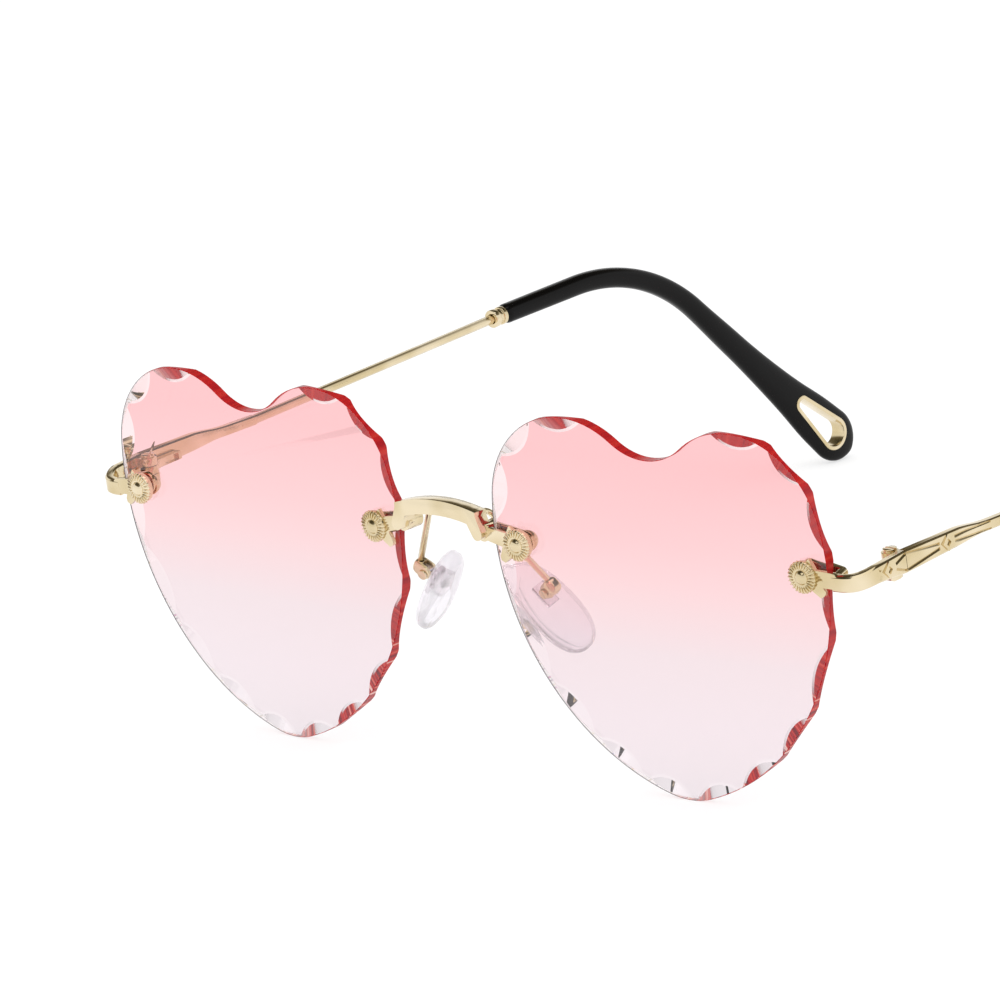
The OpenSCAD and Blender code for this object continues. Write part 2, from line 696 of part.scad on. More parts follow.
module temple_hinge(side) {
  web = pivot_x - bar_t / 2;
  start = knuckle_r + leaf_gap;
  color("darkkhaki") side_of(side) on_hinge() difference() {
    union() {
      knuckle(-knuckle_h / 2, knuckle_h / 2);
      translate([0, 0, -knuckle_h / 2]) cube([web, start + over, knuckle_h]);
      translate([web - leaf_t, start, -hinge_h / 2]) cube([leaf_t, leaf_len, hinge_h]);
    }
    translate([0, 0, -hinge_h]) cylinder(r = pin_bore, h = 2 * hinge_h);
    translate([web - leaf_t - over, start + leaf_len / 2, -slot_h / 2])
      cube([leaf_t / 2 + over, slot_len, slot_h]);
  }
}

module hinge_screw(side) {
  color("gold") side_of(side) on_hinge() difference() {
    union() {
      translate([0, 0, -hinge_h / 2]) cylinder(r = pin_r, h = hinge_h);
      translate([0, 0, hinge_h / 2]) cylinder(r = pin_head_r, h = pin_head_t);
    }
    translate([-pin_head_r - over, -driver_slot / 2, hinge_h / 2 + pin_head_t / 2])
      cube([2 * (pin_head_r + over), driver_slot, pin_head_t]);
  }
}

module temple(side) {
  stations = [[hinge_gap / 2, seam_h], [panel_len, panel_h], [panel_len + neck_len, 2 * rod_r]];
  middle = 0.48 * panel_len;
  color("gold") side_of(side) on_hinge() difference() {
    union() {
      skin([for (s = stations) [for (p = bar_section(bar_t, s[1])) [pivot_x + p[0], s[0], p[1]]]]);
      translate([pivot_x, panel_len + neck_len / 2, 0]) rotate([-90, 0, 0])
        cylinder(r = rod_r, h = rod_end + core_len - panel_len - neck_len / 2);
      stud_at(middle);
    }
    engraving(hinge_gap, seam_h, panel_len, panel_h, middle);
  }
}

// Turned collar on the rod, in front of the tip
module tip_collar(side) {
  color("gold") side_of(side) on_hinge() translate([pivot_x, rod_end, 0]) rotate([90, 0, 0]) difference() {
    union() {
      cylinder(r = collar_r, h = 0.3 * collar_len);
      cylinder(r = 0.8 * collar_r, h = 0.7 * collar_len);
      translate([0, 0, 0.6 * collar_len]) cylinder(r = collar_r, h = 0.4 * collar_len);
    }
    translate([0, 0, -over]) cylinder(r = rod_r + insert_fit, h = collar_len + 2 * over);
  }
}

// Height and thickness of the tip at the distance s from the collar
function tip_height(s) = lookup(s, [[0, tip_h], [tip_knots[2], (tip_h + tip_low_h) / 2],
  [tip_knots[3], tip_low_h + tip_swell], [tip_knots[4], 1.6 * paddle_r], [tip_total, 2 * paddle_r]]);
function tip_thick(s) = lookup(s, [[0, tip_t], [tip_knots[2], tip_t], [tip_total, paddle_t]]);
function tip_ring(p, a, section) =
  [for (q = section) [q[0], p[0] - q[1] * sin(a), p[1] + q[1] * cos(a)]];

module temple_tip(side) {
  body = [for (i = [0:tip_steps]) let (s = i * tip_step)
    tip_ring(tip_track[i], tip_heading(s), oval_section(tip_thick(s), tip_height(s)))];
  cap = [for (i = [1:cap_steps]) let (a = cap_turn * i / cap_steps)
    tip_ring(eye_at + paddle_r * sin(a) * [cos(eye_turn), sin(eye_turn)], eye_turn,
      oval_section(paddle_t * (0.4 + 0.6 * cos(a)), 2 * paddle_r * cos(a)))];
  color("black") side_of(side) difference() {
    on_tip() skin(concat(body, cap));
    on_hinge() translate([pivot_x, rod_end - over, 0]) rotate([-90, 0, 0])
      cylinder(r = rod_r + insert_fit, h = core_len + over + insert_fit);
    on_tip() eye_place() slab(0, 2 * tip_t) link([0, 0], eye_r + eye_wall, [-eye_len, 0], eye_point_wall);
  }
}

module eye_place() translate([0, eye_at[0], eye_at[1]]) rotate([eye_turn, 0, 0]) children();

module tip_eye(side) {
  color("gold") side_of(side) on_tip() eye_place() slab(0, paddle_t + 2 * eye_proud) difference() {
    link([0, 0], eye_r + eye_wall - insert_fit, [-eye_len, 0], eye_point_wall - insert_fit);
    link([0, 0], eye_r, [-eye_len, 0], eye_point_r);
  }
}

lens(1);  // lens_left
lens(-1);  // lens_right
bridge();
endpiece(1);  // endpiece_left
endpiece(-1);  // endpiece_right
lens_screw(1, inner_screw);  // inner_screw_left
lens_screw(-1, inner_screw);  // inner_screw_right
lens_screw(1, outer_screw);  // outer_screw_left
lens_screw(-1, outer_screw);  // outer_screw_right
sleeve(1, inner_screw);  // inner_sleeve_left
sleeve(-1, inner_screw);  // inner_sleeve_right
sleeve(1, outer_screw);  // outer_sleeve_left
sleeve(-1, outer_screw);  // outer_sleeve_right
washer(1, inner_screw);  // inner_washer_left
washer(-1, inner_screw);  // inner_washer_right
washer(1, outer_screw);  // outer_washer_left
washer(-1, outer_screw);  // outer_washer_right
nut(1, inner_screw);  // inner_nut_left
nut(-1, inner_screw);  // inner_nut_right
nut(1, outer_screw);  // outer_nut_left
nut(-1, outer_screw);  // outer_nut_right
nose_arm(1);  // nose_arm_left
nose_arm(-1);  // nose_arm_right
pad_box(1);  // pad_box_left
pad_box(-1);  // pad_box_right
pad_screw(1);  // pad_screw_left
pad_screw(-1);  // pad_screw_right
pad_insert(1);  // pad_insert_left
pad_insert(-1);  // pad_insert_right
nose_pad(1);  // nose_pad_left
nose_pad(-1);  // nose_pad_right
front_hinge(1);  // front_hinge_left
front_hinge(-1);  // front_hinge_right
hinge_screw(1);  // hinge_screw_left
hinge_screw(-1);  // hinge_screw_right
temple_hinge(1);  // temple_hinge_left
temple_hinge(-1);  // temple_hinge_right
temple(1);  // temple_left
temple(-1);  // temple_right
tip_collar(1);  // tip_collar_left
tip_collar(-1);  // tip_collar_right
temple_tip(1);  // temple_tip_left
temple_tip(-1);  // temple_tip_right
tip_eye(1);  // tip_eye_left
tip_eye(-1);  // tip_eye_right
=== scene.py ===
import json
import math

import bmesh
import bpy
from mathutils import Matrix, Vector


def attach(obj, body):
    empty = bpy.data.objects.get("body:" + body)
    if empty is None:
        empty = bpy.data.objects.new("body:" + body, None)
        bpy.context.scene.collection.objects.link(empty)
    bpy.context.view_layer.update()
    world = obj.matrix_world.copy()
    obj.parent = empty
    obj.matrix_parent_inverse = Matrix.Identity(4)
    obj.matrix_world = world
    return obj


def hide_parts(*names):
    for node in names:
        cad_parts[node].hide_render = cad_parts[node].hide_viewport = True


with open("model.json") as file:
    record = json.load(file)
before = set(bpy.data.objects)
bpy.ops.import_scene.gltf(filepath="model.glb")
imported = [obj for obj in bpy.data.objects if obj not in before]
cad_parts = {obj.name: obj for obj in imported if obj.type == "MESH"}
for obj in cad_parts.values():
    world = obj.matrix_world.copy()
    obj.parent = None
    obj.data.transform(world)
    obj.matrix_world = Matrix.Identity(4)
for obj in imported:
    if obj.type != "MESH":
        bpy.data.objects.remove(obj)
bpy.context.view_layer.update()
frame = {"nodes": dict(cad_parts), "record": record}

MM = 0.001
nodes = frame["nodes"]
SIDES = {"left": 1, "right": -1}
BODY_OF = {node: body for body, held in frame["record"]["behaviour"]["bodies"].items() for node in held}
SLOT_OF = {part["node"]: part["material_slot"] for part in frame["record"]["subparts"]}

# The camera, as fitted to the photograph: degrees, and millimetres from the middle of the object's foot
CAMERA_AZIMUTH = 45.55
CAMERA_ELEVATION = 13.78
CAMERA_ROLL = -6.24
CAMERA_DISTANCE = 1130
CAMERA_TARGET = (9.0, -75.70, 39.07)
FOCAL_PIXELS = 8388
IMAGE_PIXELS = 1000
SENSOR = 36

# The frames of the wearer's left side, in millimetres and degrees, as part.scad has them
LENS_AT = (37.98, -75.70, 26.473)
WRAP = 3
LEAN = 2.6
LENS_TOP = 52.4
LENS_THICK = 1.6
SCREWS = {"inner": (-24.42, 7.35), "outer": (25.12, 7.35)}
PAD_AT = (12, -70.40, 25.773)
PAD_FLARE = 38
PAD_LEAN = 15
PAD_SPLAY = 6
HINGE_AT = (70.17, -65.7, 33.77)
TIP_AT = (72.2, 8.754, 38.457)
TIP_TOE = 2.6

# Hinge leaves behind the panels: their top and foot over the temple's middle line, and the two cuts past the
# knuckle between which they step down
LEAF_TOP = 0.7
LEAF_FOOT = -0.5
LEAF_STEP = (1.3, 1.36)
# Panels of endpiece and temple: how far they are lifted, and by what share made taller; where that begins and
# ends along Y, and the lengths over which it comes and goes
PANEL_LIFT = 0.6
PANEL_STRETCH = 0.1
PANEL_FRONT = -75
PANEL_REAR = -43
PANEL_COMES = 4
PANEL_GOES = 13
# Height of the temple's panel along Y as part.scad has it, and as it shows, narrowing sooner to the rod; and
# where its mesh is cut so that it can
PANEL_STRAIGHT = ((-65.7, 2.8), (-48.7, 1.9), (-42.7, 1.4))
PANEL_NARROWED = ((-65.7, 2.8), (-55, 2.22), (-53.5, 1.98), (-51, 1.5), (-49.5, 1.4), (-42.7, 1.4))
NECK_CUTS = (-55, -54.3, -53.5, -52.7, -51.8, -51, -50.2, -49.5)

# The tip's centre line, as part.scad walks it
TEMPLE_RISE = 3.6
TIP_START = 14.9
TIP_BEND_END = 41.4
TIP_BEND = 48.7
TIP_RUN_END = 55
TIP_SWEEP = 1.5
TIP_LENGTH = 78.2
PADDLE_REACH = 4.7
# Height and thickness of the tip at distances from the collar
TIP_HEIGHTS = ((0, 2.9), (TIP_BEND_END, 3.24), (49, 3.71), (TIP_RUN_END, 4.07), (61, 4.8), (67, 5.85),
               (73, 7.35), (TIP_LENGTH, 8.05))
TIP_THICKS = ((0, 2.7), (TIP_BEND_END, 2.7), (TIP_LENGTH, 2.4))
# Lined eye in the tip: centre of its round end in the tip's frame, the way it points in degrees, the distance
# between its two ends' centres, their outer radii, and the lining's wall and half depth
EYE_AT = (64.6, -33.7)
EYE_TURN = -44.9
EYE_LENGTH = 8.6
EYE_R = 2.6
EYE_POINT_R = 1.35
EYE_WALL = 0.55
EYE_DEPTH = 1.4


def linear(hex_colour):
    """An sRGB hex colour as linear RGBA."""
    shares = [int(hex_colour[i:i + 2], 16) / 255 for i in (1, 3, 5)]
    return tuple(c / 12.92 if c <= 0.04045 else ((c + 0.055) / 1.055) ** 2.4 for c in shares) + (1.0,)


def add(tree, kind, sockets=None, stops=(), **settings):
    """A new node: settings, ramp stops as (place, hex colour), and sockets given values or linked."""
    node = tree.nodes.new(kind)
    for name, value in settings.items():
        setattr(node, name, value)
    for name, value in (sockets or {}).items():
        if isinstance(value, bpy.types.NodeSocket):
            tree.links.new(value, node.inputs[name])
        else:
            node.inputs[name].default_value = value
    if stops:
        marks = node.color_ramp.elements
        while len(marks) < len(stops):
            marks.new(0.5)
        for mark, (place, colour) in zip(marks, stops):
            mark.position = place
            mark.color = linear(colour)
    return node


# Materials

# Refractive indices of polycarbonate, cast silicone, nylon and cellulose acetate
LENS_IOR = 1.586
SILICONE_IOR = 1.41
NYLON_IOR = 1.5
ACETATE_IOR = 1.48
# Share of the light that the dyed rear skin lets by, from the lens's foot to its top
TINT_STOPS = ((0.0, "#EFE9ED"), (0.2, "#EFE4E9"), (0.38, "#EEDFE3"), (0.52, "#F4D7DA"), (0.68, "#FBCCCF"),
              (0.9, "#FCC2C5"))
# Reds of the dyed body from a look along it, with darker and paler stripes that are painted shade and painted
# light from reflections inside the lens, and the strength of these stripes at the lens's foot and at its top
RED_STOPS = ((0.15, "#7C1C28"), (0.4, "#A91D2A"), (0.52, "#CE2A2B"), (0.64, "#DC4A3E"), (0.76, "#EC9488"),
             (0.92, "#FBD6CF"))
RED_STRIPES = (2.0, 0.35)
# Painted light at the far edge: white and stripes of split light, their strength, and a painted grey shade
# line at its front rim
SPLIT_STOPS = ((0.16, "#7A7484"), (0.24, "#F6F2F6"), (0.34, "#FFFFFF"), (0.62, "#FFFFFF"), (0.69, "#EADDB6"),
               (0.74, "#B9C8F2"), (0.8, "#EFB4C4"))
SPLIT_STRIPES = 1.3
PAINTED_RIM_SHADE = "#5E5A60"
# Length of a wave of the two kinds of painted stripes along the edge, in millimetres
RED_WAVE = 1.111
SPLIT_WAVE = 0.625
# Tones of the gold plating and of the milky nylon
PLATE_STOPS = ((0.35, "#D6C49B"), (0.65, "#EBDCBD"))
MILK_STOPS = ((0.3, "#EFE7EB"), (0.7, "#F8F3F5"))
# Patterns of the finishes in millimetres: length and spacing of the polishing lines, which are finer than a
# pixel and only soften the gloss, and how far apart the tones of the plating and the waves and marks of the
# plastics are
LINE_LENGTH = 0.16667
LINE_SPACING = 0.03077
PLATE_TONE = 5.556
SILICONE_WAVE = 3.846
NYLON_FLOW = 1.111
ACETATE_WAVE = 6.25


def material(name, build):
    """A node material whose surface is the shader that build(tree) returns."""
    made = bpy.data.materials.new(name)
    made.use_nodes = True
    tree = made.node_tree
    tree.nodes.clear()
    add(tree, "ShaderNodeOutputMaterial", {"Surface": build(tree)})
    return made


def lens_height(tree):
    """Height on the lens, from 0 at its foot to 1 at its top."""
    place = add(tree, "ShaderNodeTexCoord").outputs["Object"]
    height = add(tree, "ShaderNodeSeparateXYZ", {"Vector": place}).outputs["Z"]
    return add(tree, "ShaderNodeMapRange", {"Value": height, "From Max": LENS_TOP * MM}).outputs["Result"]


def lens_tint(tree):
    """Colour of the dyed skin, deepest at the lens's top."""
    return add(tree, "ShaderNodeValToRGB", {"Fac": lens_height(tree)}, stops=TINT_STOPS).outputs["Color"]


def glass(tree, colour):
    """Clear polycarbonate: a lamp's rays go straight through it, so that its shadow is pale."""
    solid = add(tree, "ShaderNodeBsdfGlass",
                {"Color": colour, "Roughness": 0.0, "IOR": LENS_IOR}).outputs["BSDF"]
    film = add(tree, "ShaderNodeBsdfTransparent", {"Color": colour}).outputs["BSDF"]
    lamp = add(tree, "ShaderNodeLightPath").outputs["Is Shadow Ray"]
    return add(tree, "ShaderNodeMixShader", {0: lamp, 1: solid, 2: film}).outputs["Shader"]


def clear_front(tree):
    """Hard coated front of the lens, which nearly every look goes straight through: quite clear."""
    return glass(tree, linear("#FFFDFD"))


def dyed_rear(tree):
    """Dip-dyed rear skin of the lens, deepest at the top."""
    return glass(tree, lens_tint(tree))


def painted_streaks(tree, stops, wave, strength):
    """Painted stripes of light and shade that change across the lens's edge, from a noise along its run."""
    run = add(tree, "ShaderNodeAttribute", attribute_name="edge_run").outputs["Fac"]
    noise = add(tree, "ShaderNodeTexNoise", {"W": run, "Scale": 1 / wave, "Detail": 3.0, "Roughness": 0.6},
                noise_dimensions="1D").outputs["Fac"]
    around = add(tree, "ShaderNodeMath", {0: noise, 1: 0.5}, operation="SUBTRACT").outputs["Value"]
    spread = add(tree, "ShaderNodeMath",
                 {0: around, 1: strength, 2: 0.5}, operation="MULTIPLY_ADD").outputs["Value"]
    return add(tree, "ShaderNodeValToRGB", {"Fac": spread}, stops=stops).outputs["Color"]


def lit_body(tree, colour):
    """The lens's body where it hands on light of a colour from either side."""
    back = add(tree, "ShaderNodeBsdfTranslucent", {"Color": colour}).outputs["BSDF"]
    face = add(tree, "ShaderNodeBsdfDiffuse", {"Color": colour}).outputs["BSDF"]
    return add(tree, "ShaderNodeMixShader", {0: 0.5, 1: face, 2: back}).outputs["Shader"]


def dye_red_with_painted_streaks(tree):
    """The dyed lens seen along its inside: even red at its top, and at its foot painted stripes of darker red
    and pale pink for the shade and light of reflections inside it.
    """
    strength = add(tree, "ShaderNodeMapRange", {
        "Value": lens_height(tree), "From Min": 0.2, "From Max": 0.55, "To Min": RED_STRIPES[0],
        "To Max": RED_STRIPES[1]}).outputs["Result"]
    return lit_body(tree, painted_streaks(tree, RED_STOPS, RED_WAVE, strength))


def painted_split_light(tree):
    """The far edge of the lens: painted white with a few painted stripes of split light, and a painted grey
    shade line at its front.
    """
    white = painted_streaks(tree, SPLIT_STOPS, SPLIT_WAVE, SPLIT_STRIPES)
    depth = add(tree, "ShaderNodeAttribute", attribute_name="edge_depth").outputs["Fac"]
    # Painted shade: grey where the far wall meets the front, for the thin dark line along the edge
    line = add(tree, "ShaderNodeMapRange",
               {"Value": depth, "From Min": 0.2, "From Max": 0.4}).outputs["Result"]
    colour = add(tree, "ShaderNodeMix", {"Factor": line, "A": linear(PAINTED_RIM_SHADE), "B": white}, data_type="RGBA")
    return lit_body(tree, colour.outputs["Result"])


def edge_side(tree):
    """Share of the lens's right hand half, as someone before it sees it, which parts the red from the painted
    white, split light and grey shade of the far half.
    """
    side = add(tree, "ShaderNodeAttribute", attribute_name="edge_side").outputs["Fac"]
    return add(tree, "ShaderNodeMapRange",
               {"Value": side, "From Min": -0.15, "From Max": 0.15}).outputs["Result"]


def thin_dye(tree):
    """The dye that is left on the polished cuts: nearly whole at the lens's foot, half of it at its top."""
    worn = add(tree, "ShaderNodeMapRange", {"Value": lens_height(tree), "From Min": 0.35, "From Max": 0.7,
                                            "To Min": 0.1, "To Max": 0.55}).outputs["Result"]
    left = add(tree, "ShaderNodeMix",
               {"Factor": worn, "A": lens_tint(tree), "B": (1, 1, 1, 1)}, data_type="RGBA")
    return left.outputs["Result"]


def shut_in(tree):
    """Share of a look from inside that the surface turns back: none for rays from outside or from a lamp."""
    back = add(tree, "ShaderNodeFresnel", {"IOR": LENS_IOR}).outputs["Fac"]
    shut = add(tree, "ShaderNodeMapRange",
               {"Value": back, "From Min": 0.2, "From Max": 0.8}).outputs["Result"]
    inside = add(tree, "ShaderNodeNewGeometry").outputs["Backfacing"]
    both = add(tree, "ShaderNodeMath", {0: shut, 1: inside}, operation="MULTIPLY").outputs["Value"]
    lamp = add(tree, "ShaderNodeLightPath").outputs["Is Shadow Ray"]
    seen = add(tree, "ShaderNodeMath", {0: 1.0, 1: lamp}, operation="SUBTRACT").outputs["Value"]
    return add(tree, "ShaderNodeMath", {0: both, 1: seen}, operation="MULTIPLY").outputs["Value"]


def cut_facet(tree):
    """Polished wave cut: clear, but where it turns back a look from inside it shows painted red or painted
    split light, in place of the light that the lens would carry inside.
    """
    painted_inner_reflection = add(tree, "ShaderNodeMixShader",
                      {0: edge_side(tree), 1: painted_split_light(tree), 2: dye_red_with_painted_streaks(tree)})
    clear = glass(tree, thin_dye(tree))
    return add(tree, "ShaderNodeMixShader", {
        0: shut_in(tree), 1: clear, 2: painted_inner_reflection.outputs["Shader"]}).outputs["Shader"]


def broken_edge(tree):
    """Narrow chamfer of a wall: red like it at the lens's near half, and at its far half grey glass as
    painted shade for a thin dark line along the edge.
    """
    outside = add(tree, "ShaderNodeMixShader", {
        0: edge_side(tree), 1: glass(tree, linear("#5C555A")), 2: dye_red_with_painted_streaks(tree)}).outputs["Shader"]
    behind = add(tree, "ShaderNodeNewGeometry").outputs["Backfacing"]
    return add(tree, "ShaderNodeMixShader", {0: behind, 1: outside, 2: cut_facet(tree)}).outputs["Shader"]


def rim_wall(tree):
    """Polished outer wall: wet red from outside, where it shows the dyed body with its painted streaks; from
    inside like a cut, with its painted reflections.
    """
    gloss = add(tree, "ShaderNodeBsdfGlossy", {"Color": linear("#C4C4C4"), "Roughness": 0.12}).outputs["BSDF"]
    shine = add(tree, "ShaderNodeFresnel", {"IOR": LENS_IOR}).outputs["Fac"]
    outside = add(tree, "ShaderNodeMixShader", {0: shine, 1: dye_red_with_painted_streaks(tree), 2: gloss}).outputs["Shader"]
    behind = add(tree, "ShaderNodeNewGeometry").outputs["Backfacing"]
    lamp = add(tree, "ShaderNodeLightPath").outputs["Is Shadow Ray"]
    either = add(tree, "ShaderNodeMath", {0: behind, 1: lamp}, operation="MAXIMUM").outputs["Value"]
    return add(tree, "ShaderNodeMixShader", {0: either, 1: outside, 2: cut_facet(tree)}).outputs["Shader"]


def gold_plate(tree):
    """Brass, plated pale gold and polished: a mirror, a little uneven in tone, with fine lines."""
    place = add(tree, "ShaderNodeTexCoord").outputs["Object"]
    fine = [1 / (length * MM) for length in (LINE_LENGTH, LINE_LENGTH, LINE_SPACING)]
    lines = add(tree, "ShaderNodeMapping", {"Vector": place, "Scale": fine}).outputs["Vector"]
    marks = add(tree, "ShaderNodeTexNoise", {"Vector": lines, "Scale": 1.0, "Detail": 2.0}).outputs["Fac"]
    rough = add(tree, "ShaderNodeMapRange", {"Value": marks, "To Min": 0.1, "To Max": 0.2}).outputs["Result"]
    bump = add(tree, "ShaderNodeBump",
               {"Height": marks, "Strength": 0.06, "Distance": 0.02 * MM}).outputs["Normal"]
    tone = add(tree, "ShaderNodeTexNoise",
               {"Vector": place, "Scale": 1 / (PLATE_TONE * MM), "Detail": 1.0}).outputs["Fac"]
    plate = add(tree, "ShaderNodeValToRGB", {"Fac": tone}, stops=PLATE_STOPS).outputs["Color"]
    return add(tree, "ShaderNodeBsdfPrincipled", {
        "Base Color": plate, "Metallic": 1.0, "Roughness": rough, "Normal": bump}).outputs["BSDF"]


def cast_silicone(tree):
    """Water-clear cast silicone with a faint lilac cast: soft gloss, slightly uneven skin, a little haze."""
    place = add(tree, "ShaderNodeTexCoord").outputs["Object"]
    uneven = add(tree, "ShaderNodeTexNoise",
                 {"Vector": place, "Scale": 1 / (SILICONE_WAVE * MM), "Detail": 1.0}).outputs["Fac"]
    bump = add(tree, "ShaderNodeBump",
               {"Height": uneven, "Strength": 0.15, "Distance": 0.2 * MM}).outputs["Normal"]
    rubber = add(tree, "ShaderNodeBsdfPrincipled", {
        "Base Color": linear("#F8F6F9"), "Roughness": 0.06, "IOR": SILICONE_IOR, "Transmission Weight": 1.0,
        "Normal": bump}).outputs["BSDF"]
    haze = add(tree, "ShaderNodeBsdfTransparent", {"Color": linear("#F9F7FA")}).outputs["BSDF"]
    body = add(tree, "ShaderNodeMixShader", {0: 0.5, 1: rubber, 2: haze}).outputs["Shader"]
    film = add(tree, "ShaderNodeBsdfTransparent", {"Color": linear("#F0E6F0")}).outputs["BSDF"]
    lamp = add(tree, "ShaderNodeLightPath").outputs["Is Shadow Ray"]
    return add(tree, "ShaderNodeMixShader", {0: lamp, 1: body, 2: film}).outputs["Shader"]


def clear_nylon(tree):
    """Clear moulded nylon, slightly milky, with flow marks in colour and gloss."""
    place = add(tree, "ShaderNodeTexCoord").outputs["Object"]
    flow = add(tree, "ShaderNodeTexNoise",
               {"Vector": place, "Scale": 1 / (NYLON_FLOW * MM), "Detail": 2.0}).outputs["Fac"]
    milk = add(tree, "ShaderNodeValToRGB", {"Fac": flow}, stops=MILK_STOPS).outputs["Color"]
    rough = add(tree, "ShaderNodeMapRange", {"Value": flow, "To Min": 0.08, "To Max": 0.22}).outputs["Result"]
    plastic = add(tree, "ShaderNodeBsdfPrincipled", {
        "Base Color": milk, "Roughness": rough, "IOR": NYLON_IOR,
        "Transmission Weight": 0.95}).outputs["BSDF"]
    film = add(tree, "ShaderNodeBsdfTransparent", {"Color": linear("#F4EDF0")}).outputs["BSDF"]
    lamp = add(tree, "ShaderNodeLightPath").outputs["Is Shadow Ray"]
    return add(tree, "ShaderNodeMixShader", {0: lamp, 1: plastic, 2: film}).outputs["Shader"]


def black_acetate(tree):
    """Black cellulose acetate, tumbled to a soft gloss, with slow waves in its skin."""
    place = add(tree, "ShaderNodeTexCoord").outputs["Object"]
    waves = add(tree, "ShaderNodeTexNoise",
                {"Vector": place, "Scale": 1 / (ACETATE_WAVE * MM), "Detail": 2.0}).outputs["Fac"]
    rough = add(tree, "ShaderNodeMapRange",
                {"Value": waves, "To Min": 0.18, "To Max": 0.28}).outputs["Result"]
    bump = add(tree, "ShaderNodeBump",
               {"Height": waves, "Strength": 0.08, "Distance": 0.5 * MM}).outputs["Normal"]
    return add(tree, "ShaderNodeBsdfPrincipled", {
        "Base Color": linear("#080707"), "Roughness": rough, "IOR": ACETATE_IOR, "Specular IOR Level": 0.15,
        "Normal": bump}).outputs["BSDF"]


def white_table(tree):
    """White board under even light, so that it shows as pure white but for the deeper shadows."""
    path = add(tree, "ShaderNodeLightPath").outputs
    seen = add(tree, "ShaderNodeMath", {0: path["Is Camera Ray"], 1: path["Is Transmission Ray"]},
               operation="MAXIMUM").outputs["Value"]
    other = add(tree, "ShaderNodeMath",
                {0: seen, 1: path["Is Glossy Ray"]}, operation="MAXIMUM").outputs["Value"]
    share = add(tree, "ShaderNodeMapRange", {"Value": other, "To Max": 0.6}).outputs["Result"]
    board = add(tree, "ShaderNodeBsdfDiffuse", {"Color": linear("#F8F8F8")}).outputs["BSDF"]
    glow = add(tree, "ShaderNodeEmission", {"Color": (1, 1, 1, 1), "Strength": 1.04}).outputs["Emission"]
    return add(tree, "ShaderNodeMixShader", {0: share, 1: board, 2: glow}).outputs["Shader"]


def dress(mesh, *finishes):
    """Gives a mesh its materials, in place of those it had."""
    mesh.materials.clear()
    for finish in finishes:
        mesh.materials.append(finish)


gold = material("gold_plated_brass", gold_plate)
lens_front = material("clear_polycarbonate", clear_front)
lens_rear = material("dyed_polycarbonate", dyed_rear)
lens_facet = material("dyed_polycarbonate_cut", cut_facet)
lens_wall = material("dyed_polycarbonate_wall", rim_wall)
lens_chamfer = material("dyed_polycarbonate_chamfer", broken_edge)
silicone = material("cast_silicone", cast_silicone)
nylon = material("clear_nylon", clear_nylon)
acetate = material("black_acetate", black_acetate)
FINISH = {"gold": gold, "lens": lens_rear, "silicone": silicone, "clear_plastic": nylon,
          "black_plastic": acetate}

for node, held in nodes.items():
    dress(held.data, FINISH[SLOT_OF[node]])


# Frames and pieces

def turned(degrees, axis):
    """A turn by an angle about an axis."""
    return Matrix.Rotation(math.radians(degrees), 4, axis)


def mirrored(matrix, side):
    """A frame of the wearer's left side, or its mirror image on the right."""
    flip = Matrix.Diagonal((side, 1, 1, 1))
    return flip @ matrix @ flip


def lens_frame(side):
    """The frame of a lens: its middle, X across it and Y through it."""
    return mirrored(Matrix.Translation(MM * Vector(LENS_AT)) @ turned(WRAP, "Z") @ turned(LEAN, "X"), side)


def pad_frame(side):
    """The frame of a nose pad, with X away from the nose on the left side."""
    return mirrored(Matrix.Translation(MM * Vector(PAD_AT)) @ turned(PAD_LEAN, "X") @ turned(-PAD_FLARE, "Y")
                    @ turned(-PAD_SPLAY, "Z"), side)


# Millimetres within which vertices are one: on the CAD meshes, on the meshes made here, and at the seam of a
# sweep
WELD = 0.002
MERGE = 0.0005
SEAM = 0.001
# Turns in degrees: below the first faces are one flat face, and above the second an edge is broken
FLAT_TURN = 0.5
SHARP_TURN = 35


def welded(node):
    """A copy of a CAD node's mesh with its doubles merged and its flat faces made whole."""
    mesh = nodes[node].data.copy()
    work = bmesh.new()
    work.from_mesh(mesh)
    bmesh.ops.remove_doubles(work, verts=work.verts, dist=WELD * MM)
    bmesh.ops.dissolve_limit(work, angle_limit=math.radians(FLAT_TURN), verts=work.verts, edges=work.edges)
    work.to_mesh(mesh)
    work.free()
    return mesh


def shown(name, mesh):
    """A mesh as an object of the scene."""
    made = bpy.data.objects.new(name, mesh)
    bpy.context.scene.collection.objects.link(made)
    return made


def settled(made):
    """The plain mesh that an object's modifiers give, which the object then has in their place."""
    mesh = bpy.data.meshes.new_from_object(made.evaluated_get(bpy.context.evaluated_depsgraph_get()))
    made.modifiers.clear()
    made.data = mesh
    mesh.name = made.name
    return mesh


def smooth(mesh, degrees):
    """Shades a mesh smoothly over all edges that turn less than an angle."""
    mesh.shade_smooth()
    mesh.set_sharp_from_angle(angle=math.radians(degrees))


def face_outward(mesh):
    """Merges a mesh's doubles and turns all its faces outward."""
    work = bmesh.new()
    work.from_mesh(mesh)
    bmesh.ops.remove_doubles(work, verts=work.verts, dist=MERGE * MM)
    bmesh.ops.recalc_face_normals(work, faces=work.faces)
    work.to_mesh(mesh)
    work.free()


def fit(made, node):
    """Puts a finished piece on the body of the CAD node that it stands for, and hides that node."""
    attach(made, BODY_OF[node])
    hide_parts(node)


def fit_copy(shape, side_name, name, node, where, finish, degrees):
    """Fits a piece on one side, from a shape in the frame of the wearer's left one."""
    mesh = shape.copy()
    mesh.transform(Matrix.Diagonal((SIDES[side_name], 1, 1, 1)) @ where)
    face_outward(mesh)
    smooth(mesh, degrees)
    dress(mesh, finish)
    fit(shown(f"{name}_{side_name}", mesh), f"{node}_{side_name}")


